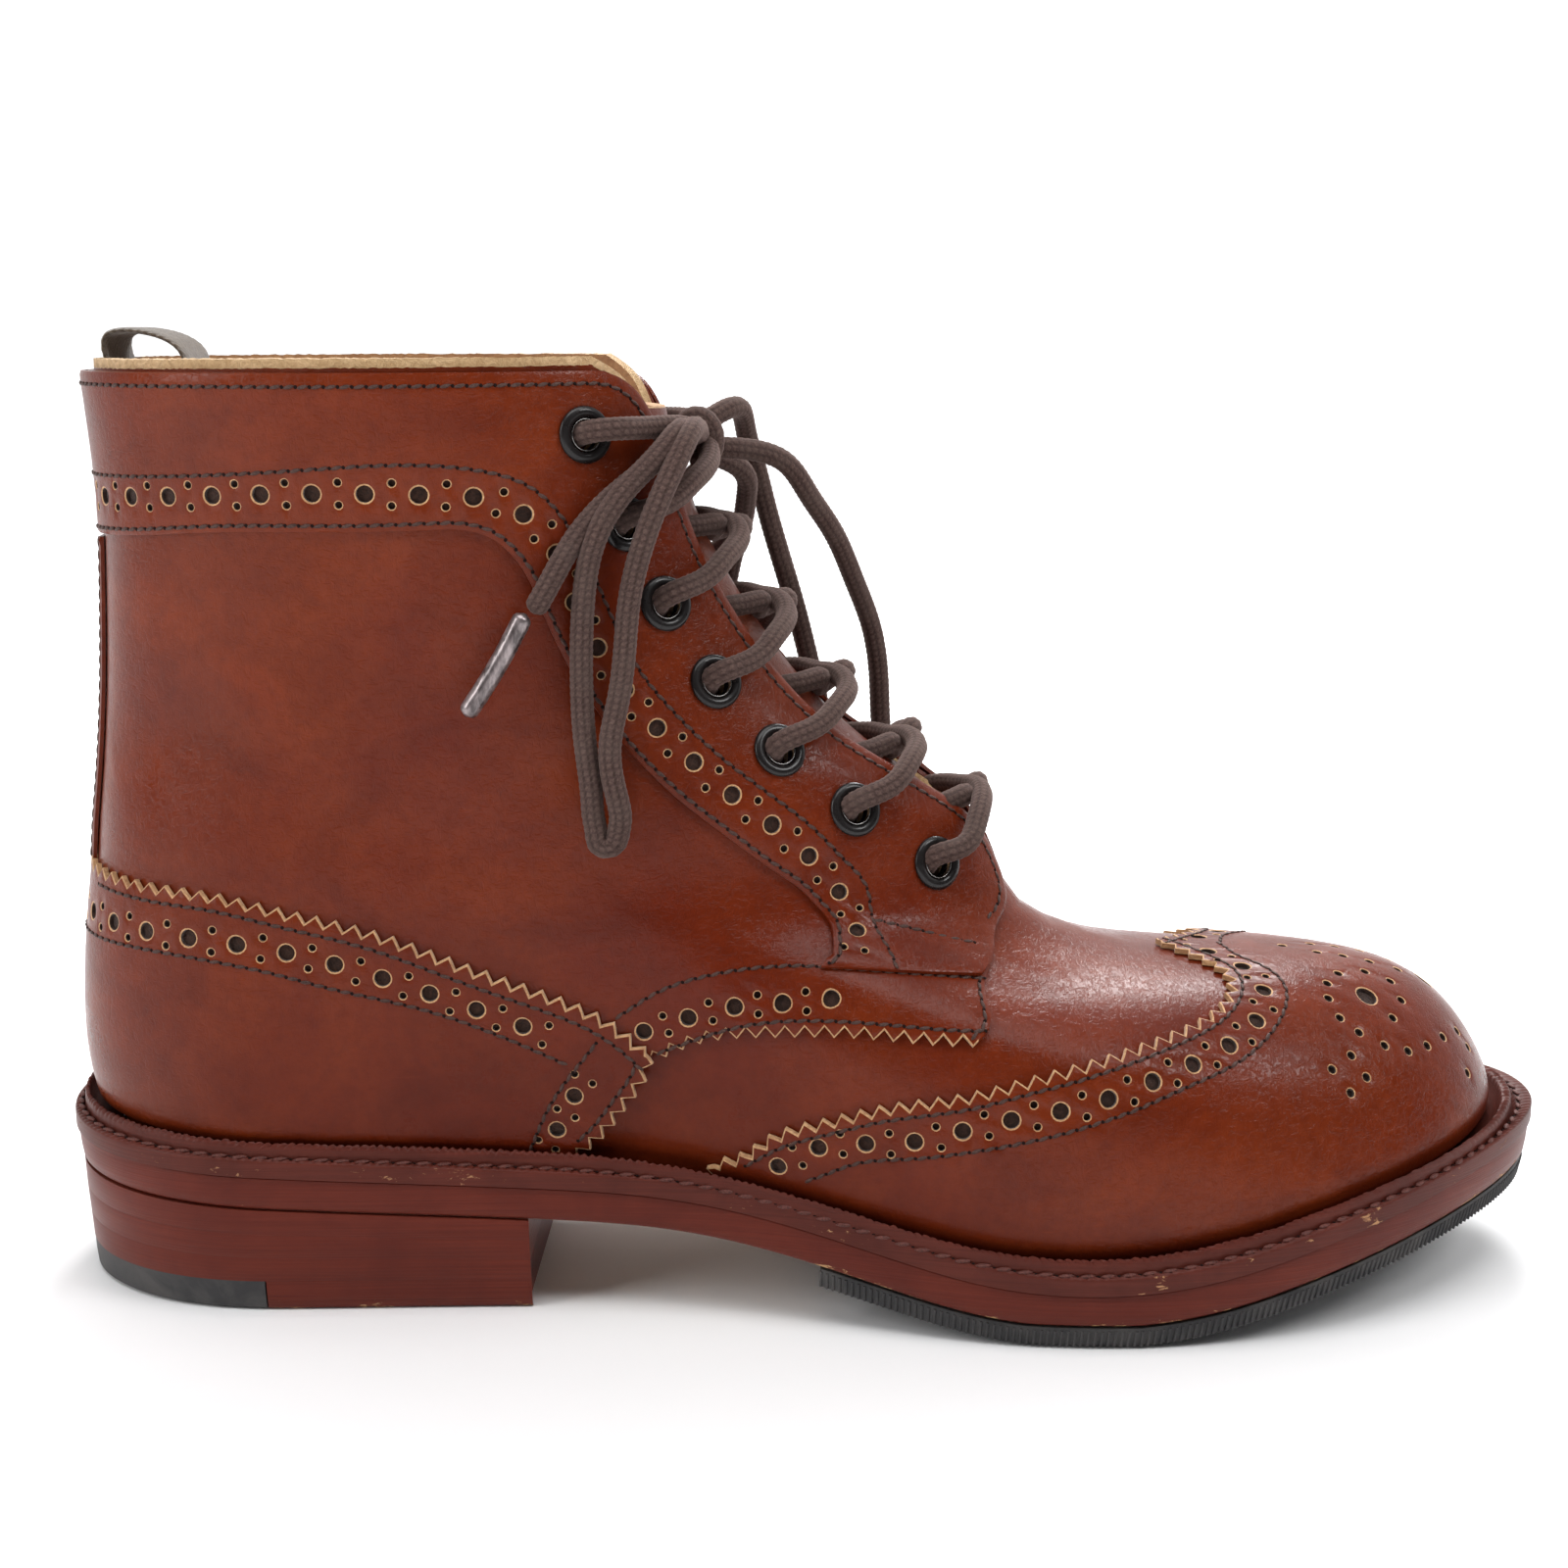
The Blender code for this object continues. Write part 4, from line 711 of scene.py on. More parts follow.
# The medallion, on one half of the toe: share round, share of the way up.
MEDALLION_LARGE = [(0.880, 0.2675)]
MEDALLION_LARGE_CENTRE = [(1.0, 0.230)]
MEDALLION_SMALL = [(0.8525, 0.285), (0.880, 0.300), (0.910, 0.3025), (0.9325, 0.2875),
                   (0.930, 0.265), (0.9025, 0.245), (0.870, 0.235), (0.8325, 0.260),
                   (0.830, 0.2375), (0.8075, 0.220), (0.7875, 0.215), (0.7875, 0.1875),
                   (0.805, 0.195), (0.8375, 0.215), (0.8525, 0.200), (0.875, 0.195),
                   (0.9025, 0.1925), (0.935, 0.185), (0.935, 0.165), (0.905, 0.1475),
                   (0.9775, 0.325), (0.975, 0.3075), (0.9725, 0.2875), (0.9775, 0.2625)]
MEDALLION_SMALL_CENTRE = [(1.0, 0.345), (1.0, 0.1925), (1.0, 0.170)]
LARGE_PUNCH = 0.0022
SMALL_PUNCH = 0.0009
wing_holes = brogue(lateral(WING_HOLES), 0.0093, 0.0021)
wing_holes += [(-u, k, LARGE_PUNCH) for u, k in MEDALLION_LARGE]
wing_holes += [(-u, k, SMALL_PUNCH) for u, k in MEDALLION_SMALL]
wing_holes = [(u, k, r) for u, k, r in wing_holes if u > -0.994]
wing_holes += [(-2 - u, k, r) for u, k, r in wing_holes]
wing_holes += [(-u, k, LARGE_PUNCH) for u, k in MEDALLION_LARGE_CENTRE]
wing_holes += [(-u, k, SMALL_PUNCH) for u, k in MEDALLION_SMALL_CENTRE]
far_wing = [(s - 2, k) for s, k in WING_TOP]
wing_edges = [
    (trace([(-1.538, 0.050), (-1.3, 0.050), (-1.0, 0.050), (-0.7, 0.050), (-0.462, 0.050)], 0.003), 'dyed'),
    (gimped([(-0.462, 0.050)] + lateral(WING_TOP)), 'raw'),
    (gimped(far_wing[::-1] + [(-1.538, 0.050)]), 'raw')]
wing = leather_piece('wing_cap_leather', wing_edges, GAP, QUARTER_TOP, [CHESTNUT, PALE_CUT],
                     wing_holes, 0.0024)
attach(wing, 'root')
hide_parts('wing_cap')
wing_row = trace(WING_ROW, SEAM_STEP)
upper_row = trace(WING_TOP, SEAM_STEP)[12:]
upper_row = beside(upper_row, 0.0022)
for side in (-1, 1):
    sew('wing', QUARTER_TOP, wing_row * np.array([side, 1.0]), upper_row * np.array([side, 1.0]))

# Heel counter: a calf overlay round the back, gimped along its top and down its front strips,
# brogued, and sewn to the quarters with two rows.
COUNTER_TOP = [(0.00, 0.418), (0.10, 0.419), (0.20, 0.423), (0.25, 0.425), (0.305, 0.410),
               (0.35, 0.387), (0.38, 0.347), (0.41, 0.305), (0.435, 0.262), (0.447, 0.218)]
COUNTER_FRONT = [(0.447, 0.218), (0.4425, 0.1975), (0.4260, 0.1425), (0.4140, 0.0975),
                 (0.4000, 0.0500)]
COUNTER_LOW_ROW = [(0.0, 0.320), (0.045, 0.320), (0.195, 0.330), (0.2575, 0.320), (0.3025, 0.295),
                   (0.3425, 0.2725), (0.3775, 0.2375), (0.4050, 0.2000)]
COUNTER_HOLES = [(0.035, 0.355), (0.105, 0.355), (0.1975, 0.3575), (0.265, 0.355), (0.3175, 0.330),
                 (0.360, 0.290), (0.4025, 0.240)]
JUNCTION_ROW = [(0.4250, 0.2325), (0.4050, 0.1775), (0.3900, 0.1225), (0.3800, 0.0600)]
JUNCTION_HOLES = [(0.4200, 0.2050), (0.4060, 0.1550), (0.3960, 0.1080), (0.3880, 0.0700)]
counter_top = lateral(COUNTER_TOP)[::-1] + COUNTER_TOP[1:]
counter_edges = [
    (trace([(-0.400, 0.050), (-0.2, 0.050), (0.0, 0.050), (0.2, 0.050), (0.400, 0.050)], 0.003), 'dyed'),
    (gimped(COUNTER_FRONT[::-1]), 'raw'), (gimped(counter_top[::-1]), 'raw'),
    (gimped(lateral(COUNTER_FRONT)), 'raw')]
counter_holes = brogue(lateral(COUNTER_HOLES), 0.0094, 0.0021)
counter_holes += brogue(lateral(JUNCTION_HOLES), 0.0090, 0.0020)[1:]
counter_holes += [(-u, k, r) for u, k, r in counter_holes]
counter = leather_piece('heel_counter_leather', counter_edges, OVERLAY_LOW, OVERLAY_TOP,
                        [CHESTNUT, PALE_CUT], counter_holes, 0.0026)
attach(counter, 'root')
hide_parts('heel_counter')
upper_row = beside(trace(COUNTER_TOP[1:], SEAM_STEP), 0.0027)
front_row = beside(trace(COUNTER_FRONT, SEAM_STEP), 0.0022)[4:-6]
for side in (-1, 1):
    turned = np.array([side, 1.0])
    sew('counter', OVERLAY_TOP, trace(COUNTER_LOW_ROW, SEAM_STEP) * turned, upper_row * turned,
        trace(JUNCTION_ROW, SEAM_STEP) * turned, front_row * turned)

# Facings with the collar band: calf overlays that carry the eyelets and the brogued band, folded
# over at the collar and the throat, sewn along both of the band's edges.
FACING_FRONT = [(0.00, 0.990), (0.20, 0.990), (0.40, 0.990), (0.55, 0.990), (0.66, 0.990),
                (0.74, 0.990), (0.789, 0.988), (0.829, 0.976), (0.850, 0.957), (0.859, 0.930),
                (0.860, 0.895), (0.856, 0.860), (0.851, 0.810), (0.849, 0.760), (0.849, 0.680),
                (0.853, 0.645), (0.864, 0.612), (0.885, 0.578), (0.915, 0.550), (0.939, 0.525),
                (0.942, 0.505), (0.927, 0.488), (0.889, 0.473), (0.839, 0.460), (0.779, 0.436),
                (0.714, 0.404)]
FACING_BACK = [(0.00, 0.825), (0.20, 0.835), (0.32, 0.848), (0.45, 0.858), (0.54, 0.865),
               (0.580, 0.866), (0.600, 0.860), (0.614, 0.845), (0.621, 0.825), (0.620, 0.790),
               (0.617, 0.750), (0.616, 0.700), (0.616, 0.650), (0.618, 0.600), (0.623, 0.568),
               (0.635, 0.540), (0.652, 0.516), (0.668, 0.500), (0.679, 0.488), (0.681, 0.472),
               (0.672, 0.455), (0.655, 0.440), (0.637, 0.424), (0.620, 0.410), (0.608, 0.402),
               (0.600, 0.394)]
BAND_INNER = [(0.0045, 0.890), (0.055, 0.890), (0.420, 0.9125), (0.605, 0.920), (0.660, 0.905),
              (0.685, 0.870), (0.6875, 0.805), (0.680, 0.7375), (0.6825, 0.6825),
              (0.6875, 0.6275), (0.700, 0.570), (0.7125, 0.5425), (0.7275, 0.5125),
              (0.735, 0.490), (0.7175, 0.4675), (0.690, 0.440), (0.655, 0.405)]
VAMP_ROW = [(0.716, 0.462), (0.743, 0.452), (0.768, 0.440)]
BAND_HOLES = [(0.060, 0.866), (0.175, 0.8725), (0.365, 0.8875), (0.4675, 0.895), (0.565, 0.8975),
              (0.6125, 0.895), (0.655, 0.868), (0.6560, 0.800), (0.6530, 0.7300),
              (0.6550, 0.670), (0.6600, 0.6275), (0.665, 0.585), (0.680, 0.545), (0.700, 0.5125),
              (0.708, 0.482), (0.690, 0.455), (0.650, 0.424)]
near_facing = [
    (trace([(-max(s, 0.0045), k) for s, k in FACING_FRONT], 0.0018), 'dyed'),
    (trace([(-0.714, 0.404), (-0.66, 0.400), (-0.600, 0.394)], 0.002), 'dyed'),
    (trace([(-max(s, 0.0045), k) for s, k in FACING_BACK][::-1], 0.0018), 'dyed'),
    (trace([(-0.0045, 0.825), (-0.0045, 0.9), (-0.0045, 0.990)], 0.002), 'dyed')]
band_holes = brogue(lateral(BAND_HOLES), 0.0098, 0.0021)
for side, word in ((-1, 'lateral'), (1, 'medial')):
    turned = np.array([side, 1.0])
    edges = near_facing if side < 0 else mirrored(near_facing)
    holes = [(u * -side, k, r) for u, k, r in band_holes]
    holes += [h for h in lace_holes if h[0] * side > 0]
    facing = leather_piece('facing_' + word + '_leather', edges, OVERLAY_LOW, OVERLAY_TOP,
                           [CHESTNUT, PALE_CUT], holes, 0.0024)
    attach(facing, 'root')
    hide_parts('facing_' + word)
    front = beside(trace(FACING_FRONT[:24], SEAM_STEP), 0.0024)
    back_row = beside(trace(FACING_BACK, SEAM_STEP), -0.0012)
    sew('facings', OVERLAY_TOP, front[6:] * turned, trace(BAND_INNER, SEAM_STEP) * turned,
        back_row[6:-3] * turned, trace(VAMP_ROW, SEAM_STEP) * turned)

# Back strip: a narrow calf strip over the back seam, from the counter up to the collar band.
strip_edges = [
    (trace([(-0.052, 0.4225), (0.0, 0.4225), (0.052, 0.4225)], 0.002), 'dyed'),
    (trace([(0.052, 0.4225), (0.052, 0.6), (0.052, 0.8215)], 0.002), 'dyed'),
    (trace([(0.052, 0.8215), (0.0, 0.8215), (-0.052, 0.8215)], 0.002), 'dyed'),
    (trace([(-0.052, 0.8215), (-0.052, 0.6), (-0.052, 0.4225)], 0.002), 'dyed')]
strip = leather_piece('back_strip_leather', strip_edges, OVERLAY_LOW, OVERLAY_TOP,
                      [CHESTNUT, PALE_CUT], (), 0.0026)
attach(strip, 'root')
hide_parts('back_strip')
for side in (-1, 1):
    sew('back', OVERLAY_TOP, trace([(side * 0.042, 0.430), (side * 0.042, 0.62),
                                    (side * 0.042, 0.815)], SEAM_STEP))

# Tongue: soft calf lined with the same, its root under the vamp, lying loose under the throat.
TONGUE_THICK = 0.0020
TONGUE_SIDE = [(0.790, 0.405), (0.765, 0.470), (0.740, 0.540), (0.720, 0.620), (0.700, 0.720),
               (0.695, 0.850), (0.700, 0.968)]
tongue_edges = [
    (trace([(-1.21, 0.405), (-1.0, 0.405), (-0.790, 0.405)], EDGE_STEP), 'dyed'),
    (trace(lateral(TONGUE_SIDE), EDGE_STEP), 'raw'),
    (trace([(-0.700, 0.968), (-1.0, 0.968), (-1.300, 0.968)], 0.0015), 'raw'),
    (trace([(s - 2, k) for s, k in TONGUE_SIDE][::-1], EDGE_STEP), 'raw')]
DARK_CHESTNUT = smooth_leather('tongue_leather', (0.115, 0.018, 0.007), (0.065, 0.010, 0.005),
                               (0.20, 0.048, 0.020), 0.3, 0.42)
tongue = leather_piece('tongue_leather', tongue_edges, -WALL - 0.0005 - TONGUE_THICK,
                       -WALL - 0.0005, [DARK_CHESTNUT, PALE_CUT, LINING], (), 0.0030, under=2)
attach(tongue, 'root')
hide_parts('tongue')

# Stitching: dark waxed thread, about ten stitches to the inch, each pulled down between two needle
# holes, with the rows laid on every panel above.
THREAD = 0.00078


def thread_material(name, colour):
    mat, tree, shader = new_material(name, colour, 0.62, Specular_IOR_Level=0.35)
    place = node(tree, 'ShaderNodeTexCoord').outputs['Object']
    ply = noise(tree, place, 2600.0, 3.0, 0.6, 0.4)
    tree.links.new(blend(tree, between(tree, ply, 0.35, 0.65), tuple(c * 0.6 for c in colour),
                         tuple(min(c * 1.6, 1) for c in colour)), shader.inputs['Base Color'])
    tree.links.new(bump(tree, ply, 0.00008), shader.inputs['Normal'])
    return mat


BROWN_THREAD = thread_material('brown_thread', (0.050, 0.022, 0.016))
# Painted shade: near-black dots between the stitches, for the shade where the thread sinks in.
NEEDLE_HOLE_SHADE = new_material('needle_hole_painted_shade', (0.012, 0.006, 0.005), 0.9, Specular_IOR_Level=0.1)[0]


def socket_of(tree, name):
    return [item.identifier for item in tree.interface.items_tree if item.name == name][0]


def sewing_nodes():
    """Stitches and painted-shade needle-hole dots in turn along every line, standing on the line's 'up'."""
    tree = bpy.data.node_groups.new('sewing', 'GeometryNodeTree')
    for name, kind, value in (('Seam', 'NodeSocketGeometry', None), ('Pitch', 'NodeSocketFloat', STITCH),
                              ('Length', 'NodeSocketFloat', 0.0023), ('Width', 'NodeSocketFloat', THREAD),
                              ('Height', 'NodeSocketFloat', 0.00055),
                              ('Thread', 'NodeSocketMaterial', None),
                              ('Hole_Shade', 'NodeSocketMaterial', None)):
        item = tree.interface.new_socket(name, in_out='INPUT', socket_type=kind)
        if value is not None:
            item.default_value = value
    tree.interface.new_socket('Sewn', in_out='OUTPUT', socket_type='NodeSocketGeometry')
    given = tree.nodes.new('NodeGroupInput').outputs
    half = node(tree, 'ShaderNodeMath', {0: given['Pitch'], 1: 0.5}, operation='MULTIPLY').outputs[0]
    curve = node(tree, 'GeometryNodeMeshToCurve', {'Mesh': given['Seam']}).outputs[0]
    curve = node(tree, 'GeometryNodeResampleCurve', {'Curve': curve, 'Length': half},
                 mode='LENGTH').outputs[0]
    up = node(tree, 'GeometryNodeInputNamedAttribute', {'Name': 'up'}, data_type='FLOAT_VECTOR').outputs[0]
    stand = node(tree, 'FunctionNodeAlignRotationToVector', {'Vector': up}, axis='Z').outputs[0]
    tangent = node(tree, 'GeometryNodeInputTangent').outputs[0]
    turned = node(tree, 'FunctionNodeAlignRotationToVector', {'Rotation': stand, 'Vector': tangent},
                  axis='X', pivot_axis='Z').outputs[0]
    index = node(tree, 'GeometryNodeInputIndex').outputs[0]
    odd = node(tree, 'ShaderNodeMath', {0: index, 1: 2.0}, operation='MODULO').outputs[0]
    parts = []
    for flip, sizes, skin_name in ((0, ('Length', 'Width', 'Height'), 'Thread'),
                                   (1, (0.00072, 0.00080, 0.00018), 'Hole_Shade')):
        chosen = node(tree, 'FunctionNodeCompare', {0: odd, 1: float(flip), 12: 0.1},
                      data_type='FLOAT', operation='EQUAL').outputs[0]
        ball = node(tree, 'GeometryNodeMeshUVSphere', {'Segments': 8, 'Rings': 5, 'Radius': 0.5}).outputs[0]
        size = node(tree, 'ShaderNodeCombineXYZ',
                    {i: (given[s] if isinstance(s, str) else s) for i, s in enumerate(sizes)}).outputs[0]
        ball = node(tree, 'GeometryNodeTransform', {'Geometry': ball, 'Scale': size,
                                                       'Rotation': (0.0, 0.0, 0.20)}).outputs[0]
        laid = node(tree, 'GeometryNodeInstanceOnPoints', {'Points': curve, 'Selection': chosen,
                                                           'Instance': ball, 'Rotation': turned}).outputs[0]
        laid = node(tree, 'GeometryNodeRealizeInstances', {'Geometry': laid}).outputs[0]
        parts.append(node(tree, 'GeometryNodeSetMaterial', {
            'Geometry': laid, 'Material': given[skin_name]}).outputs[0])
    joined = tree.nodes.new('GeometryNodeJoinGeometry')
    for part in parts:
        tree.links.new(part, joined.inputs[0])
    smooth = node(tree, 'GeometryNodeSetShadeSmooth', {'Geometry': joined.outputs[0]}).outputs[0]
    tree.links.new(smooth, tree.nodes.new('NodeGroupOutput').inputs[0])
    return tree


SEWING = sewing_nodes()


def grown(name, lines, tree, values):
    """What a node tree makes along lines of points: each line is (points, ups)."""
    verts = np.vstack([line for line, up in lines])
    links, count = [], 0
    for line, up in lines:
        links += [(count + i, count + i + 1) for i in range(len(line) - 1)]
        count += len(line)
    mesh = bpy.data.meshes.new(name)
    mesh.from_pydata([tuple(v) for v in verts], links, [])
    ups = mesh.attributes.new('up', 'FLOAT_VECTOR', 'POINT')
    ups.data.foreach_set('vector', np.vstack([up for line, up in lines]).astype(np.float32).ravel())
    obj = bpy.data.objects.new(name, mesh)
    bpy.context.scene.collection.objects.link(obj)
    mod = obj.modifiers.new('grown', 'NODES')
    mod.node_group = tree
    for key, value in values.items():
        mod[socket_of(tree, key)] = value
    bpy.context.view_layer.update()
    made = bpy.data.meshes.new_from_object(obj.evaluated_get(bpy.context.evaluated_depsgraph_get()))
    obj.modifiers.remove(mod)
    obj.data = made
    made.name = name
    return obj


for owner, rows in stitch_rows.items():
    lines = []
    for row, off in rows:
        u, k = row.T
        lines.append((skin(u, k, off + 0.00002), normal(u, k)))
    seam = grown('stitching_' + owner, lines, SEWING, {'Thread': BROWN_THREAD, 'Hole_Shade': NEEDLE_HOLE_SHADE})
    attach(seam, 'root')

# Insole: a vegetable-tanned board inside the foot of the upper, with a thin leather sock on it.
INSOLE_THICK = 0.0030
INSOLE_IN = WALL + 0.0022


def lofted(name, levels, lanes, materials, slots_of=None, breast=0.0):
    """A closed body whose side walls run through levels from top to bottom.

    Each level is (x, left y, right y, z) along the same stations from back to front. lanes is the
    number of strips across the top and bottom. breast hollows the front face by that depth."""
    share = np.linspace(-1, 1, lanes + 1)
    x, left, right, z = levels[0]
    stations = len(x)
    t = np.linspace(0, 1, stations)
    hollow = breast * t ** 6

    def face_of(level, order):
        xx, lo, hi, zz = level
        return [np.stack([xx + (s * s - 1) * hollow, lo + (hi - lo) * (s + 1) / 2, zz], -1)
                for s in order]
    rows = face_of(levels[0], share)
    rows += [np.stack([lv[0], lv[2], lv[3]], -1) for lv in levels[1:-1]]
    rows += face_of(levels[-1], share[::-1])
    rows += [np.stack([lv[0], lv[1], lv[3]], -1) for lv in levels[-2:0:-1]]
    grid = np.stack(rows)
    count = len(grid)
    verts = grid.transpose(1, 0, 2).reshape(-1, 3)
    faces, slots = [], []
    for i in range(stations - 1):
        for j in range(count):
            a, b = i * count + j, i * count + (j + 1) % count
            faces.append((a, b, b + count, a + count))
            slots.append(slots_of(j) if slots_of else 0)
    for first, flip in ((0, 1), ((stations - 1) * count, -1)):
        top = list(range(first, first + lanes + 1))
        low = list(range(first + lanes + len(levels) - 1, first + 2 * lanes + len(levels)))[::-1]
        for a, b, c, d in zip(top, top[1:], low[1:], low):
            quad = (a, b, c, d)
            if len(levels) == 2:
                faces.append(quad[::flip])
                slots.append(0)
        if len(levels) > 2:
            ring = list(range(first, first + count))
            faces.append(tuple(ring if flip < 0 else ring[::-1]))
            slots.append(0)
    obj = finish_mesh(name, verts, faces, materials, slots, 38)
    check = bmesh.new()
    check.from_mesh(obj.data)
    if check.calc_volume(signed=True) < 0:
        bmesh.ops.reverse_faces(check, faces=check.faces)
        check.to_mesh(obj.data)
    check.free()
    return obj


sides = []
for side in (-1, 1):
    uu = side * np.linspace(0.0005, 0.9995, 481)
    sides.append(proud(uu, 0 * uu, -INSOLE_IN + 0 * uu))
ring_back, ring_front = sides[0][0, 0], sides[0][-1, 0]
t = (1 - np.cos(np.pi * np.linspace(0.004, 0.996, 90))) / 2
x = ring_back + (ring_front - ring_back) * t
left, right = (np.interp(x, ring[:, 0], ring[:, 1]) for ring in sides)
floor_z = sole_top(x + SOLE_LENGTH / 2)
SOCK = fibrous('insole_leather', (0.40, 0.23, 0.11), (0.27, 0.14, 0.065), 260.0, 0.00006, 0.55)
insole = lofted('insole_leather', [(x, left, right, floor_z + INSOLE_THICK),
                                   (x, left, right, floor_z + 0.0003)], 12, [SOCK])
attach(insole, 'root')
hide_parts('insole')

# Leather outsole: a bend of sole leather under the welt, trimmed flush, its edge set with a hot
# iron, painted and worn pale along the lower corner.


def painted_edge(name, colour, dark, worn):
    """Painted sole edge: fine level lines, soft stains, pale specks where 'worn' is set."""
    mat, tree, shader = new_material(name, colour, 0.42, Coat_Weight=0.04, Coat_Roughness=0.3,
                                     Specular_IOR_Level=0.12)
    place = node(tree, 'ShaderNodeTexCoord').outputs['Object']
    layers = noise(tree, place, 150.0, 4.0, 0.65, 0.2, (0.16, 0.16, 16.0))
    cloud = noise(tree, place, 55.0, 4.0, 0.6, 0.5)
    made = blend(tree, between(tree, layers, 0.30, 0.70, 0.35, 1.0), dark, colour)
    made = blend(tree, between(tree, cloud, 0.42, 0.70, 0.0, 0.6), made, dark)
    speck = noise(tree, place, 620.0, 5.0, 0.72, 0.6, (0.55, 0.55, 1.3))
    reach = node(tree, 'ShaderNodeAttribute', attribute_name='worn').outputs['Fac']
    local = noise(tree, place, 70.0, 2.0)
    bare = node(tree, 'ShaderNodeMath', {0: speck, 1: between(tree, local, 0.35, 0.68, -0.10, 0.12)},
                operation='ADD').outputs[0]
    bare = node(tree, 'ShaderNodeMath', {0: bare, 1: between(tree, reach, 0.0, 1.0, -0.20, 0.09)},
                operation='ADD').outputs[0]
    made = blend(tree, between(tree, bare, 0.60, 0.66), made, worn)
    tree.links.new(made, shader.inputs['Base Color'])
    rough = between(tree, bare, 0.56, 0.66, 0.40, 0.85)
    tree.links.new(rough, shader.inputs['Roughness'])
    tree.links.new(bump(tree, layers, 0.00010), shader.inputs['Normal'])
    return mat


EDGE = painted_edge('painted_sole_edge', (0.150, 0.026, 0.014), (0.085, 0.014, 0.009),
                    (0.52, 0.30, 0.15))
SOLE_FACE = fibrous('sole_underside', (0.36, 0.22, 0.12), (0.20, 0.11, 0.06), 320.0, 0.0001, 0.6)


def leather_under(x):
    return np.maximum(sole_top(x) - SOLE_THICK, RUBBER_THICK + 2 * GAP)


def sole_level(x0, x1, height, draw, end, stations=200):
    """One level round the sole between x0 and x1: draw is the inset at the sides, end at the tips."""
    t = (1 - np.cos(np.pi * np.linspace(0, 1, stations))) / 2
    a = max(x0, end) if x0 <= 0 else x0
    b = min(x1, SOLE_LENGTH - end) if x1 >= SOLE_LENGTH else x1
    t = np.clip(t, 2e-5, 1 - 2e-5)
    x = a + (b - a) * t
    w = outline_widths(x / SOLE_LENGTH) * BALL_WIDTH - draw
    round_off = rounded(x, end, SOLE_LENGTH - end, 0.148 * SOLE_LENGTH, 0.242 * SOLE_LENGTH, 2.15, 2.1)
    return (x - ORIGIN[0], centre(x) - w[:, 0] * round_off - ORIGIN[1],
            centre(x) + w[:, 1] * round_off - ORIGIN[1], height(x) + 0 * x)


def wear(obj, amount):
    """Store how worn each point is, from its height above the ground or its own list."""
    values = obj.data.attributes.new('worn', 'FLOAT', 'POINT')
    values.data.foreach_set('value', np.asarray(amount, np.float32))


sole_levels = []
for share, inset in ((0.0, 0.0012), (0.05, 0.0007), (0.30, 0.0006), (0.60, 0.0008), (0.86, 0.0011),
                     (0.95, 0.0016), (1.0, 0.0024)):
    sole_levels.append(sole_level(0.0, SOLE_LENGTH, lambda x, share=share:
                                  (sole_top(x) - 0.3 * GAP) * (1 - share) + leather_under(x) * share,
                                  inset, inset, 240))
outsole = lofted('outsole_leather_bend', sole_levels, 10, [EDGE, SOLE_FACE],
                 lambda j: 1 if 16 < j < 27 else 0)
shape = np.array([v.co[:] for v in outsole.data.vertices])
above = shape[:, 2] - leather_under(shape[:, 0] + ORIGIN[0])
wear(outsole, np.clip(1 - above / 0.0022, 0, 1) * np.clip((shape[:, 0] + 0.05) / 0.04, 0, 1))
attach(outsole, 'root')
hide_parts('outsole_leather')

# Stacked heel: leather lifts pasted and nailed under the sole, trimmed together and painted. The
# bottom lift is leather in front and rubber at the back.
HEEL_BREAST = 0.318
TIP_FRONT = 0.146
TOP_PIECE = 0.0065
BREAST_HOLLOW = 0.004
PASTE = 0.00003


def heel_level(x0, x1, height, extra=0.0):
    """A level of the heel, which draws in a little towards the floor."""
    depth = float(leather_under(HEEL_BREAST * SOLE_LENGTH))
    mid = float(np.mean(height(np.array([0.0, HEEL_BREAST * SOLE_LENGTH]))))
    share = min(mid / depth, 1.0)
    draw, end = 0.0012 + 0.0036 * (1 - share) + extra, 0.0012 + 0.0012 * (1 - share) + extra
    if x0 > 0.01:
        t = np.linspace(0, 1, 24)
    else:
        t = np.clip(np.linspace(0, 1, 120) ** 2, 2e-5, 1)
    a = x0 if x0 > 0.01 else end + 0.00010
    x = a + (x1 - a) * t
    w = outline_widths(x / SOLE_LENGTH) * BALL_WIDTH - draw
    round_off = rounded(x, end, SOLE_LENGTH, 0.148 * SOLE_LENGTH, 0.242 * SOLE_LENGTH, 2.15, 2.1)
    return (x - ORIGIN[0], centre(x) - w[:, 0] * round_off - ORIGIN[1],
            centre(x) + w[:, 1] * round_off - ORIGIN[1], height(x) + 0 * x)


stack_levels = []
for share in np.linspace(1, 0, 4):
    for step_in, offset in ((0.0, 0.00008), (0.00003, 0.0), (0.0, -0.00008)):
        if (share == 1 and offset > 0) or (share == 0 and offset < 0):
            continue
        stack_levels.append(heel_level(0.0, HEEL_BREAST * SOLE_LENGTH, lambda x, share=share, offset=offset:
                                       TOP_PIECE + (leather_under(x) - PASTE - TOP_PIECE) * share + offset,
                                       step_in))
heel = lofted('heel_lifts', stack_levels, 6, [EDGE], breast=BREAST_HOLLOW)
wear(heel, 0 * np.arange(len(heel.data.vertices)))
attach(heel, 'root')
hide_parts('heel_stack')
low_levels = [heel_level(TIP_FRONT * SOLE_LENGTH + GAP, HEEL_BREAST * SOLE_LENGTH,
                         lambda x, z=z: z + 0 * x, inset)
              for z, inset in ((TOP_PIECE - PASTE, 0.0001), (0.0035, 0.0), (0.0006, 0.0001), (0.0, 0.0007))]
lift = lofted('heel_bottom_lift', low_levels, 6, [EDGE], breast=BREAST_HOLLOW)
shape = np.array([v.co[:] for v in lift.data.vertices])
wear(lift, np.clip(1 - shape[:, 2] / 0.0016, 0, 1) * 0.9)
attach(lift, 'root')
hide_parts('heel_top_piece')


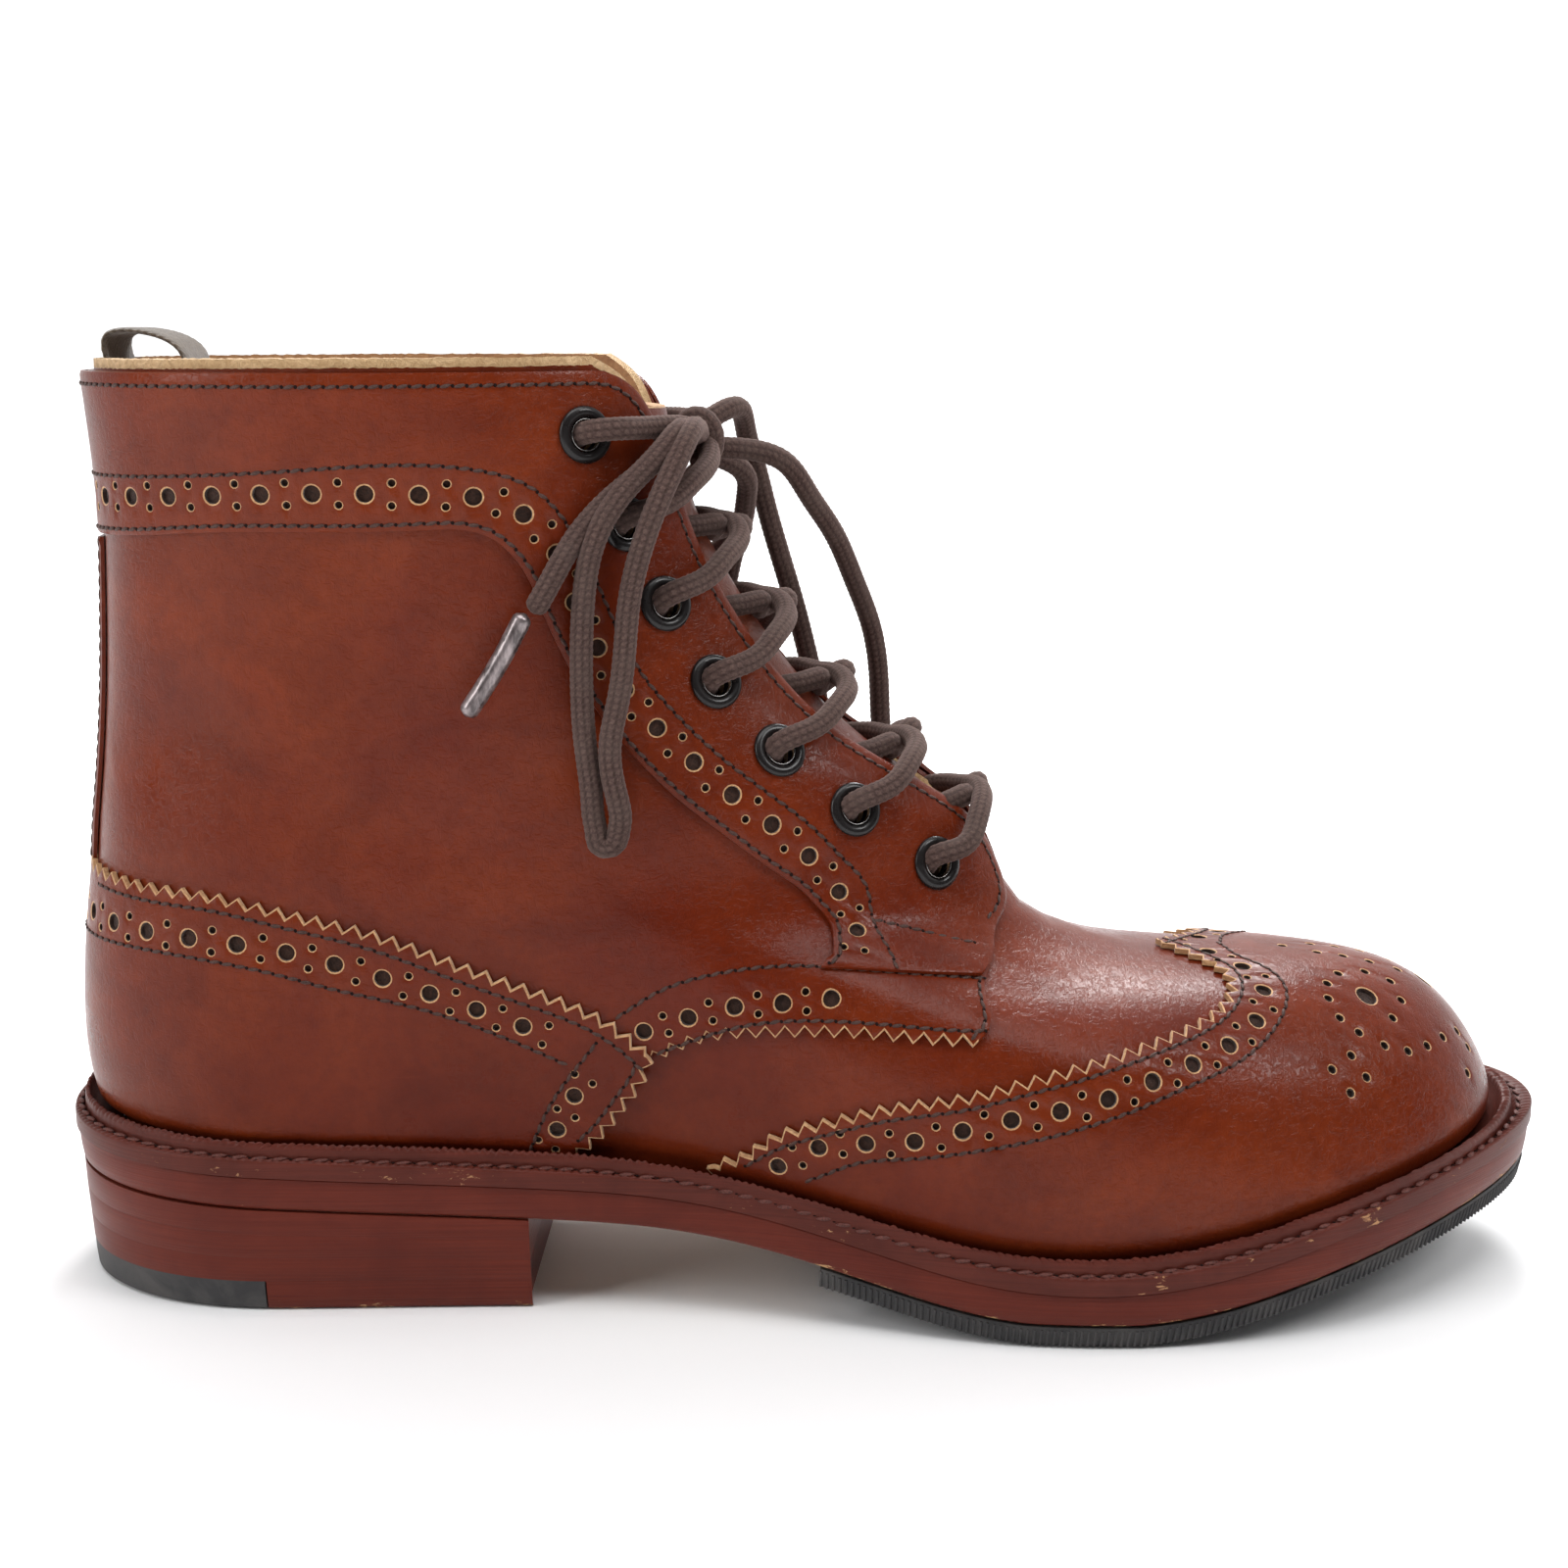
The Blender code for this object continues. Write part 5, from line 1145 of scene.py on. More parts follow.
def moulded_rubber(name, colour, worn):
    mat, tree, shader = new_material(name, colour, 0.6, Specular_IOR_Level=0.35)
    place = node(tree, 'ShaderNodeTexCoord').outputs['Object']
    grain = noise(tree, place, 1400.0, 4.0, 0.7)
    rubbed = noise(tree, place, 90.0, 4.0, 0.6, 0.8)
    tree.links.new(blend(tree, between(tree, rubbed, 0.42, 0.68), colour, worn), shader.inputs['Base Color'])
    tree.links.new(between(tree, rubbed, 0.4, 0.7, 0.50, 0.72), shader.inputs['Roughness'])
    tree.links.new(bump(tree, grain, 0.00006), shader.inputs['Normal'])
    return mat


RUBBER = moulded_rubber('black_rubber', (0.030, 0.029, 0.030), (0.075, 0.070, 0.068))
tip_levels = [heel_level(0.0, TIP_FRONT * SOLE_LENGTH, lambda x, z=z: z + 0 * x, inset)
              for z, inset in ((TOP_PIECE - PASTE, 0.0001), (0.0035, 0.0), (0.0006, 0.0001), (0.0, 0.0007))]
tip = lofted('heel_quarter_tip', tip_levels, 6, [RUBBER])
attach(tip, 'root')
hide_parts('heel_tip_rubber')

# Rubber forefoot: a thin moulded sheet cemented under the front of the sole, ribbed along its edge
# and treaded underneath with fine cross bars.
RUBBER_BACK = 0.505
RIB_PITCH = 0.0013


def rubber_low(x):
    return np.maximum(leather_under(x) - 2 * GAP - RUBBER_THICK, 0)


def rubber_level(share, inset):
    return sole_level(RUBBER_BACK * SOLE_LENGTH, SOLE_LENGTH, lambda x: (leather_under(x) - GAP) * (1 - share)
                      + rubber_low(x) * share, 0.0016 + inset, 0.0016 + inset, 160)


forefoot = lofted('outsole_forefoot_rubber', [rubber_level(share, inset) for share, inset in (
    (0.0, 0.0002), (0.12, 0.0), (0.55, 0.0004), (0.85, 0.0008), (1.0, 0.0016))], 10, [RUBBER])
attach(forefoot, 'root')
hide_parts('outsole_rubber')


def bar_nodes():
    """A small rounded bar at even steps along every line, its long side along 'up'."""
    tree = bpy.data.node_groups.new('moulded_bars', 'GeometryNodeTree')
    for name, kind, value in (('Line', 'NodeSocketGeometry', None), ('Pitch', 'NodeSocketFloat', RIB_PITCH),
                              ('Size', 'NodeSocketVector', (0.0007, 0.0008, 0.0034)),
                              ('Finish', 'NodeSocketMaterial', None)):
        item = tree.interface.new_socket(name, in_out='INPUT', socket_type=kind)
        if value is not None:
            item.default_value = value
    tree.interface.new_socket('Bars', in_out='OUTPUT', socket_type='NodeSocketGeometry')
    given = tree.nodes.new('NodeGroupInput').outputs
    curve = node(tree, 'GeometryNodeMeshToCurve', {'Mesh': given['Line']}).outputs[0]
    curve = node(tree, 'GeometryNodeResampleCurve', {'Curve': curve, 'Length': given['Pitch']},
                 mode='LENGTH').outputs[0]
    up = node(tree, 'GeometryNodeInputNamedAttribute', {'Name': 'up'}, data_type='FLOAT_VECTOR').outputs[0]
    stand = node(tree, 'FunctionNodeAlignRotationToVector', {'Vector': up}, axis='Z').outputs[0]
    turned = node(tree, 'FunctionNodeAlignRotationToVector', {
        'Rotation': stand, 'Vector': node(tree, 'GeometryNodeInputTangent').outputs[0]},
        axis='X', pivot_axis='Z').outputs[0]
    bar = node(tree, 'GeometryNodeMeshCylinder', {'Vertices': 8, 'Radius': 0.5, 'Depth': 1.0}).outputs[0]
    bar = node(tree, 'GeometryNodeTransform', {'Geometry': bar, 'Scale': given['Size']}).outputs[0]
    laid = node(tree, 'GeometryNodeInstanceOnPoints', {'Points': curve, 'Instance': bar,
                                                       'Rotation': turned}).outputs[0]
    laid = node(tree, 'GeometryNodeRealizeInstances', {'Geometry': laid}).outputs[0]
    laid = node(tree, 'GeometryNodeSetMaterial', {'Geometry': laid, 'Material': given['Finish']}).outputs[0]
    tree.links.new(laid, tree.nodes.new('NodeGroupOutput').inputs[0])
    return tree


BARS = bar_nodes()
high, low = rubber_level(0.06, 0.0), rubber_level(0.94, 0.0008)
lines = []
for lane in (1, 2):
    a = np.stack([high[0], high[lane], high[3]], -1)
    b = np.stack([low[0], low[lane], low[3]], -1)
    lines.append(((a + b)[:-1] / 2, unit(a - b)[:-1]))
ribs = grown('forefoot_ribs', lines, BARS, {'Finish': RUBBER})
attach(ribs, 'root')
lines = []
mid_sole = rubber_level(1.0, 0.006)
for i in range(12, len(mid_sole[0]) - 12, 2):
    y = np.linspace(mid_sole[1][i], mid_sole[2][i], 9)
    bar = np.stack([mid_sole[0][i] + 0 * y, y, mid_sole[3][i] + 0.00062 + 0 * y], -1)
    lines.append((bar, np.broadcast_to([0.0, 1.0, 0.0], bar.shape)))
tread = grown('forefoot_tread', lines, BARS, {'Finish': RUBBER, 'Pitch': 0.0060,
                                              'Size': (0.0010, 0.0012, 0.0046)})
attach(tread, 'root')

# Storm welt: a strip of leather sewn to the upper, its raised bead turned up against the leather,
# wheeled with fine notches and stitched through to the sole all round.
BEAD_HEIGHT = 0.0070
STATIONS = 1900
# The welt across, from the upper outwards. Columns: share of the way from the upper to the edge,
# height above the sole's top in millimetres, depth of the wheel's notch there in millimetres.
WELT_SECTION = [(0.00, 5.6, 0.0), (0.02, 6.5, 0.1), (0.08, 6.95, 0.45), (0.18, 6.95, 0.55),
                (0.28, 6.6, 0.45), (0.335, 5.8, 0.25), (0.355, 4.4, 0.1), (0.375, 3.3, 0.0),
                (0.42, 2.8, 0.0), (0.47, 3.2, 0.15), (0.53, 3.75, 0.35), (0.66, 3.95, 0.40),
                (0.80, 3.85, 0.35), (0.90, 3.65, 0.15), (0.97, 3.45, 0.05), (1.00, 3.0, 0.0),
                (1.00, 0.3, 0.0), (0.995, 0.0, 0.0)]
u = np.arange(STATIONS) / STATIONS * 2 - 1
inner = OVERLAY_TOP + 0.0006
edge_x, edge_y = outline(u)
welt_edge = np.stack([edge_x, edge_y], -1) - ORIGIN[:2]
run = np.concatenate([[0], np.cumsum(np.linalg.norm(np.diff(welt_edge, axis=0), axis=1))])
even = np.linspace(0, run[-1], STATIONS, endpoint=False)
u = np.interp(even, run, u)
edge_x, edge_y = outline(u)


def beside_upper(k_at, off):
    p, n = last(u, k_at), normal(u, k_at)
    n[:, 2] = 0
    return (p + unit(n) * off)[:, :2]


foot = beside_upper(0.060, inner + 0.0008)
edge_line = np.stack([edge_x, edge_y], -1) - ORIGIN[:2]
wheel = 0.5 + 0.5 * np.cos(even / even[-1] * math.tau * round(even[-1] / 0.00165))
rough_cut = np.random.default_rng(11).normal(0, 1, STATIONS)
rough_cut = (rough_cut + np.roll(rough_cut, 1) + np.roll(rough_cut, 2)) / 3
rows = []
for k_at, off, height in ((0.0, 0.0005, 0.0002), (0.020, 0.0008, 0.0026), (0.035, inner, 0.0034)):
    xy = beside_upper(k_at, off)
    rows.append(np.column_stack([xy, sole_top(xy[:, 0] + ORIGIN[0]) + height]))
for share, height, notch in WELT_SECTION:
    xy = foot * (1 - share) + edge_line * share
    z = sole_top(xy[:, 0] + ORIGIN[0]) + (height - notch * wheel) / 1000
    if 0.0 < share < 0.34:
        z += 0.00016 * rough_cut - 0.00010
    rows.append(np.column_stack([xy, np.minimum(z, sole_top(xy[:, 0] + ORIGIN[0]) + BEAD_HEIGHT)]))
verts = np.concatenate(rows)
faces = []
for row in range(len(rows)):
    after = (row + 1) % len(rows)
    for j in range(STATIONS):
        a, b = row * STATIONS + j, row * STATIONS + (j + 1) % STATIONS
        c, d = after * STATIONS + (j + 1) % STATIONS, after * STATIONS + j
        faces.append((a, b, c, d))
WELT = painted_edge('painted_welt', (0.120, 0.026, 0.017), (0.060, 0.014, 0.010), (0.45, 0.24, 0.12))
welt = finish_mesh('storm_welt_leather', verts, faces, [WELT], None, 60)
check = bmesh.new()
check.from_mesh(welt.data)
if check.calc_volume(signed=True) < 0:
    bmesh.ops.reverse_faces(check, faces=check.faces)
    check.to_mesh(welt.data)
check.free()
worn = np.zeros((len(rows), STATIONS))
worn[-4:-1] = 0.45
wear(welt, worn.ravel())
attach(welt, 'root')
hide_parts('welt')
line = foot * 0.42 + edge_line * 0.58
line = np.column_stack([line, sole_top(line[:, 0] + ORIGIN[0]) + 0.00385])
line = np.vstack([line, line[:1]])
sole_seam = grown('welt_stitching', [(line, np.broadcast_to([0.0, 0.0, 1.0], line.shape))], SEWING,
                  {'Thread': thread_material('sole_thread', (0.085, 0.024, 0.018)), 'Hole_Shade': NEEDLE_HOLE_SHADE,
                   'Pitch': 0.0040, 'Length': 0.0034, 'Width': 0.0011, 'Height': 0.0008})
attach(sole_seam, 'root')

# Eyelets: black enamelled rings pressed over a bright barrel, seven on each facing.
EYELET_R = 0.0054
EYELET_HOLE = 0.0029


def eyelet_nodes():
    """A rolled ring and its barrel on every point, standing on the point's 'up'."""
    tree = bpy.data.node_groups.new('eyelet', 'GeometryNodeTree')
    for name, kind, value in (('Places', 'NodeSocketGeometry', None),
                              ('Ring', 'NodeSocketFloat', (EYELET_R + EYELET_HOLE) / 2 + 0.0001),
                              ('Roll', 'NodeSocketFloat', (EYELET_R - EYELET_HOLE) / 2 - 0.0001),
                              ('Barrel', 'NodeSocketFloat', EYELET_HOLE + 0.00005),
                              ('Lip', 'NodeSocketFloat', 0.00010),
                              ('Enamel', 'NodeSocketMaterial', None), ('Bright', 'NodeSocketMaterial', None)):
        item = tree.interface.new_socket(name, in_out='INPUT', socket_type=kind)
        if value is not None:
            item.default_value = value
    tree.interface.new_socket('Eyelets', in_out='OUTPUT', socket_type='NodeSocketGeometry')
    given = tree.nodes.new('NodeGroupInput').outputs
    parts = []
    for ring, roll, squeeze, lift_by, finish in (('Ring', 'Roll', 0.62, 0.0, 'Enamel'),
                                                 ('Barrel', 'Lip', 1.0, 0.00048, 'Bright'),
                                                 ('Barrel', 'Lip', 9.0, -0.0016, 'Enamel')):
        path = node(tree, 'GeometryNodeCurvePrimitiveCircle', {'Resolution': 48,
                                                               'Radius': given[ring]}).outputs[0]
        bead = node(tree, 'GeometryNodeCurvePrimitiveCircle', {'Resolution': 14,
                                                               'Radius': given[roll]}).outputs[0]
        ring_mesh = node(tree, 'GeometryNodeCurveToMesh', {'Curve': path, 'Profile Curve': bead}).outputs[0]
        ring_mesh = node(tree, 'GeometryNodeTransform', {'Geometry': ring_mesh, 'Scale': (1.0, 1.0, squeeze),
                                                         'Translation': (0.0, 0.0, lift_by)}).outputs[0]
        parts.append(node(tree, 'GeometryNodeSetMaterial', {
            'Geometry': ring_mesh, 'Material': given[finish]}).outputs[0])
    joined = tree.nodes.new('GeometryNodeJoinGeometry')
    for part in parts:
        tree.links.new(part, joined.inputs[0])
    smooth = node(tree, 'GeometryNodeSetShadeSmooth', {'Geometry': joined.outputs[0]}).outputs[0]
    up = node(tree, 'GeometryNodeInputNamedAttribute', {'Name': 'up'}, data_type='FLOAT_VECTOR').outputs[0]
    stand = node(tree, 'FunctionNodeAlignRotationToVector', {'Vector': up}, axis='Z').outputs[0]
    laid = node(tree, 'GeometryNodeInstanceOnPoints', {'Points': given['Places'], 'Instance': smooth,
                                                       'Rotation': stand}).outputs[0]
    laid = node(tree, 'GeometryNodeRealizeInstances', {'Geometry': laid}).outputs[0]
    tree.links.new(laid, tree.nodes.new('NodeGroupOutput').inputs[0])
    return tree


ENAMEL, enamel_tree, enamel_shader = new_material('black_enamel', (0.010, 0.008, 0.008), 0.30,
                                                  Coat_Weight=0.25, Coat_Roughness=0.06,
                                                  Specular_IOR_Level=0.2)
enamel_place = node(enamel_tree, 'ShaderNodeTexCoord').outputs['Object']
rubbed = noise(enamel_tree, enamel_place, 700.0, 3.0)
enamel_tree.links.new(between(enamel_tree, rubbed, 0.3, 0.7, 0.24, 0.40), enamel_shader.inputs['Roughness'])
STEEL, steel_tree, steel_shader = new_material('bright_barrel', (0.32, 0.31, 0.30), 0.22, Metallic=1.0)
steel_place = node(steel_tree, 'ShaderNodeTexCoord').outputs['Object']
steel_tree.links.new(between(steel_tree, noise(steel_tree, steel_place, 900.0), 0.3, 0.7, 0.15, 0.32),
                     steel_shader.inputs['Roughness'])
for side, word in ((-1, 'lateral'), (1, 'medial')):
    s, k = np.array(EYELETS).T
    seats = skin(side * s, k, OVERLAY_TOP + 0.0003)
    ups = normal(side * s, k)
    eyelets = grown('eyelets_' + word, [(seats, ups)], eyelet_nodes(), {'Enamel': ENAMEL, 'Bright': STEEL})
    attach(eyelets, 'root')
    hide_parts(*['eyelet_%s_%d' % (word, n) for n in range(1, len(EYELETS) + 1)])

# Laces: one round cotton cord, knitted in fine chevrons and a little fuzzy. Each run comes up
# through an eyelet, over the facing's edge, and goes down under the other facing.
LACE = 0.0045
R = LACE / 2
OVER = OVERLAY_TOP + 0.0016 + R + GAP
KNIT_PITCH = 0.00135
WALES = 9


def route(places, spacing, start=None, end=None):
    """Evenly spaced points of a smooth curve through (u, k, offset) places, with a point of the
    knot's side before the first or after the last."""
    pts = [proud(u, k, off) for u, k, off in places]
    pts = np.array(([] if start is None else [start]) + pts + ([] if end is None else [end]))
    length = np.concatenate([[0], np.cumsum(np.linalg.norm(np.diff(pts, axis=0), axis=1))])
    fine = spline(length, pts)(np.linspace(0, length[-1], 400))
    run = np.concatenate([[0], np.cumsum(np.linalg.norm(np.diff(fine, axis=0), axis=1))])
    count = max(3, int(round(run[-1] / spacing)) + 1)
    at = np.linspace(0, run[-1], count)
    return np.stack([np.interp(at, run, fine[:, i]) for i in range(3)], -1)


def knitted(points, radius, step=0.00040, sides=27, relief_by=0.00018):
    """A knitted tube along points: vertices, faces and each vertex's depth in the knitting, painted as shade.
    """
    gaps = np.concatenate([[0], np.cumsum(np.linalg.norm(np.diff(points, axis=0), axis=1))])
    count = max(4, int(round(gaps[-1] / step)))
    at = np.linspace(0, gaps[-1], count + 1)
    centre_line = spline(gaps, points)(at)
    tangent = unit(np.gradient(centre_line, axis=0))
    side = unit(np.cross(tangent[0], [0.3, 0.5, 0.81]))
    turn_by = np.arange(sides) * math.tau / sides
    verts, depth = [], []
    for i, (p, t) in enumerate(zip(centre_line, tangent)):
        side = unit(side - t * (side @ t))
        other = np.cross(t, side)
        wale = (turn_by * WALES / math.tau) % 1.0
        slant = np.abs(wale - 0.5) * 2
        chevron = 0.5 + 0.5 * np.cos(math.tau * (at[i] / KNIT_PITCH - 0.55 * slant))
        groove = np.clip((slant - 0.72) / 0.28, 0, 1)
        deep = np.clip(0.65 * (1 - chevron) + 0.6 * groove, 0, 1)
        tip = min(at[i], gaps[-1] - at[i])
        swell = math.sqrt(max(1 - (1 - min(tip / (0.8 * radius), 1)) ** 2, 0.02))
        r = (radius - relief_by * deep) * swell
        verts.append(p + r[:, None] * (np.cos(turn_by)[:, None] * side
                                       + np.sin(turn_by)[:, None] * other))
        depth.append(deep)
    verts = np.vstack(verts + [centre_line[:1], centre_line[-1:]])
    faces = []
    for i in range(count):
        for j in range(sides):
            a, b = i * sides + j, i * sides + (j + 1) % sides
            faces.append((a, b, b + sides, a + sides))
    first, final = len(verts) - 2, len(verts) - 1
    for j in range(sides):
        faces.append((first, (j + 1) % sides, j))
        faces.append((final, count * sides + j, count * sides + (j + 1) % sides))
    return verts, faces, np.concatenate(depth + [[0.5, 0.5]])


def lace_material():
    mat, tree, shader = new_material('lace_cotton', (0.070, 0.046, 0.040), 0.92, Specular_IOR_Level=0.15,
                                     Sheen_Weight=0.30, Sheen_Roughness=0.45)
    shader.inputs['Sheen Tint'].default_value = (0.55, 0.40, 0.36, 1.0)
    place = node(tree, 'ShaderNodeTexCoord').outputs['Object']
    fuzz = noise(tree, place, 1900.0, 4.0, 0.75, 0.5)
    cloud = noise(tree, place, 130.0, 3.0)
    deep = node(tree, 'ShaderNodeAttribute', attribute_name='knit_shade').outputs['Fac']
    colour = blend(tree, between(tree, fuzz, 0.3, 0.7), (0.050, 0.028, 0.024), (0.135, 0.086, 0.074))
    # Painted shade: the cord goes near black where the knitting lies deep, in its grooves.
    colour = blend(tree, between(tree, deep, 0.20, 1.0, 0.0, 0.80), colour, (0.020, 0.012, 0.010))
    colour = blend(tree, between(tree, cloud, 0.45, 0.75, 0.0, 0.35), colour, (0.10, 0.072, 0.062))
    tree.links.new(colour, shader.inputs['Base Color'])
    tree.links.new(bump(tree, fuzz, 0.00012), shader.inputs['Normal'])
    return mat


LACE_COTTON = lace_material()


def lace_piece(name, tubes):
    """One object from several knitted tubes."""
    verts, faces, knit_shade, count = [], [], [], 0
    for v, f, d in tubes:
        verts.append(v)
        faces += [tuple(i + count for i in face) for face in f]
        knit_shade.append(d)
        count += len(v)
    obj = finish_mesh(name, np.vstack(verts), faces, [LACE_COTTON], None, 180)
    # Each vertex's depth in the knitting, which the lace colour paints as shade.
    knit_shade_of = obj.data.attributes.new('knit_shade', 'FLOAT', 'POINT')
    knit_shade_of.data.foreach_set('value', np.concatenate(knit_shade).astype(np.float32))
    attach(obj, 'root')
    return obj


for number in range(len(EYELETS) - 1, 0, -1):
    s0, k0 = EYELETS[number]
    rise = EYELETS[number - 1][1] - k0
    tubes = []
    for side in (-1, 1):
        low = 0.0020 if number == len(EYELETS) - 1 else 0.0
        way = [(side * (s0 - 0.002), k0 - 0.004, -0.0016), (side * (s0 + 0.001), k0 + 0.006, OVER - 0.0022),
               (side * (0.76 * s0 + 0.226), k0 + 0.20 * rise, OVER),
               (side * (0.46 * s0 + 0.508), k0 + 0.44 * rise, OVER),
               (side * 0.922, k0 + 0.66 * rise, 0.0058 + 0.4 * low),
               (side * 0.960, k0 + 0.80 * rise, 0.0046 + 0.7 * low),
               (side * 0.998, k0 + 0.89 * rise, 0.0030 + low if side < 0 else low - 0.0008),
               (side * 1.040, k0 + 0.94 * rise, 0.0012 + low),
               (side * 1.085, k0 + 0.97 * rise, 0.0004 + 0.6 * low),
               (side * 1.125, k0 + 0.985 * rise, -0.0010), (side * 1.158, k0 + 1.00 * rise, -0.0028)]
        tubes.append(knitted(route(way, 0.003), R))
    crossing = lace_piece('lace_run_%d' % number, tubes)
    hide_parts('lace_crossing_%d' % number)

# Bow: the lace's two ends tied in front of the throat in a plain bow. Two loops and two ends hang
# from the knot, each end in a tag of wound, varnished foil.
KNOT = proud(1.0, 0.945, 0.0048) + np.array([-0.0022, 0.0, -0.0018])
KNOT_HALF = np.array([0.0050, 0.0054, 0.0064])


def beside_knot(side, forward, up):
    """Where a strand stops face to face with the knot's side."""
    return KNOT + np.array([forward * LACE, side * (KNOT_HALF[1] + GAP + 0.16 * LACE), up * LACE])


for side, word in ((-1, 'lateral'), (1, 'medial')):
    s0, k0 = EYELETS[0]
    way = route([(side * (s0 - 0.004), k0 - 0.002, -0.0016), (side * (s0 + 0.002), k0 + 0.002, OVER - 0.0030),
                 (side * (s0 + 0.022), k0 + 0.003, OVER + 0.0002), (side * 0.80, k0 + 0.003, OVER),
                 (side * 0.87, k0 + 0.002, OVER - 0.0004)], 0.003, end=beside_knot(side, -0.80, 0.05))
    top_run = lace_piece('lace_top_run_' + word, [knitted(way, R)])
    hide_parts('lace_top_' + word)

turn = np.linspace(2.9, -1.7, 44)
back = ((turn - 0.6) / 2.3) ** 4
wrap = KNOT + np.stack([0.0033 * np.cos(turn), -0.0032 + 0.0034 * back, 0.0044 * np.sin(turn)], -1)
cross_wrap = KNOT + np.stack([0.0030 * np.cos(turn + 0.5), 0.0030 - 0.0030 * back,
                              0.0040 * np.sin(turn + 0.5)], -1)
core = KNOT + np.linspace(-1, 1, 8)[:, None] * np.array([0.0012, 0.0022, 0.0020])
knot = lace_piece('lace_bow_knot', [knitted(wrap, R * 1.02), knitted(cross_wrap, R * 0.95),
                                    knitted(core, R * 1.15)])
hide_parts('lace_knot')

NEAR_LOOP = [(-0.888, 0.945, 0.0048), (-0.835, 0.945, 0.0098), (-0.795, 0.929, 0.0105),
             (-0.744, 0.902, 0.0100), (-0.700, 0.862, 0.0085), (-0.660, 0.799, 0.0064),
             (-0.620, 0.724, 0.0062), (-0.583, 0.635, 0.0062), (-0.563, 0.578, 0.0062),
             (-0.551, 0.537, 0.0062), (-0.552, 0.519, 0.0066), (-0.563, 0.532, 0.0070),
             (-0.580, 0.579, 0.0084), (-0.600, 0.635, 0.0088), (-0.634, 0.694, 0.0084),
             (-0.670, 0.750, 0.0080), (-0.701, 0.798, 0.0086), (-0.727, 0.835, 0.0102),
             (-0.757, 0.876, 0.0125), (-0.798, 0.918, 0.0135), (-0.842, 0.943, 0.0118),
             (-0.893, 0.947, 0.0072)]
FAR_LOOP = [(0.915, 0.952, 0.0145), (0.885, 0.930, 0.0175), (0.870, 0.895, 0.0190),
            (0.855, 0.840, 0.0190), (0.825, 0.738, 0.0160), (0.788, 0.660, 0.0130),
            (0.766, 0.615, 0.0105), (0.733, 0.547, 0.0080), (0.722, 0.508, 0.0075),
            (0.735, 0.487, 0.0080), (0.765, 0.512, 0.0098), (0.785, 0.557, 0.0135),
            (0.812, 0.605, 0.0190), (0.845, 0.665, 0.0235), (0.880, 0.735, 0.0245),
            (0.915, 0.795, 0.0235), (0.945, 0.850, 0.0210), (0.968, 0.900, 0.0180)]
NEAR_END = [(-0.900, 0.943, 0.0042), (-0.848, 0.940, 0.0070), (-0.799, 0.923, 0.0066),
            (-0.733, 0.895, 0.0064), (-0.679, 0.858, 0.0062), (-0.635, 0.815, 0.0062),
            (-0.609, 0.789, 0.0062)]
FAR_END = [(0.905, 0.890, 0.0125), (0.880, 0.868, 0.0130), (0.845, 0.838, 0.0133),
           (0.800, 0.800, 0.0128), (0.750, 0.745, 0.0105), (0.712, 0.700, 0.0085)]
TAG_NEAR = [(-0.602, 0.789, 0.0066), (-0.555, 0.735, 0.0064), (-0.508, 0.676, 0.0062)]
TAG_FAR = [(0.709, 0.696, 0.0083), (0.665, 0.640, 0.0072), (0.620, 0.580, 0.0064)]
before_knot = KNOT + np.array([0.0028, 0.0028, -0.0018])
FOIL, foil_tree, foil_shader = new_material('varnished_tag', (0.16, 0.12, 0.12), 0.28, Metallic=0.55,
                                            Coat_Weight=0.5, Coat_Roughness=0.1)
foil_place = node(foil_tree, 'ShaderNodeTexCoord').outputs['Object']
wound = noise(foil_tree, foil_place, 800.0, 3.0, 0.6, 0.3, (1.0, 1.0, 0.3), 0.7)
foil_tree.links.new(blend(foil_tree, between(foil_tree, wound, 0.35, 0.65), (0.06, 0.045, 0.045),
                          (0.30, 0.25, 0.25)), foil_shader.inputs['Base Color'])
foil_tree.links.new(bump(foil_tree, wound, 0.0001), foil_shader.inputs['Normal'])


tags = {}
for word, places in (('near', TAG_NEAR), ('far', TAG_FAR)):
    v, f, d = knitted(route(places, 0.004), 0.0019, 0.0006, 20, 0.00006)
    tag = finish_mesh('lace_tag_' + word, v, f, [FOIL], None, 180)
    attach(tag, 'root')
    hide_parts('aglet_' + word)
    tags[word] = tag
near_out = KNOT + np.array([-0.0022, -0.0040, -0.0006])
near_back = KNOT + np.array([0.0004, -0.0042, 0.0010])
near_tail = KNOT + np.array([-0.0030, -0.0026, 0.0012])
for word, places, start, end, far_end, extra in (
        ('loop_near', NEAR_LOOP, near_out, near_back, 'object', []),
        ('loop_far', FAR_LOOP, beside_knot(1, 0.22, 0.64), before_knot, 'object', []),
        ('end_near', NEAR_END, near_tail, None, 'fitting', [tags['near']]),
        ('end_far', FAR_END, beside_knot(1, 0.22, -0.64), None, 'fitting', [tags['far']])):
    way = route(places, 0.003, start, end)
    cord = lace_piece('bow_' + word, [knitted(way, R)])
    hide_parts('lace_' + word)

# Pull loop: olive cotton webbing sewn to the lining at the back, arching forward over the collar.
# Columns: millimetres forward of the collar's back, millimetres above it, for a shaft of LOOP_SHAFT.
LOOP_SHAFT = 0.163
LOOP = [(6.8, -10.0), (6.2, -3.0), (4.4, 2.2), (5.0, 4.4), (8.0, 5.4), (13.0, 5.2), (18.5, 3.8),
        (22.0, 1.2), (22.6, -3.0), (19.0, -8.0), (13.0, -12.5), (7.8, -15.5)]
LOOP_HALF = 0.0100
WEB = 0.0012
at = last(0.0, 1.0)
line = np.array(LOOP) / 1000 * (SHAFT_HEIGHT / LOOP_SHAFT) * np.array([0.86, 1.0])
length = np.concatenate([[0], np.cumsum(np.linalg.norm(np.diff(line, axis=0), axis=1))])
line = spline(length, line)(np.linspace(0, length[-1], 240))
tangent = unit(np.gradient(line, axis=0))
across_line = np.stack([-tangent[:, 1], tangent[:, 0]], -1)
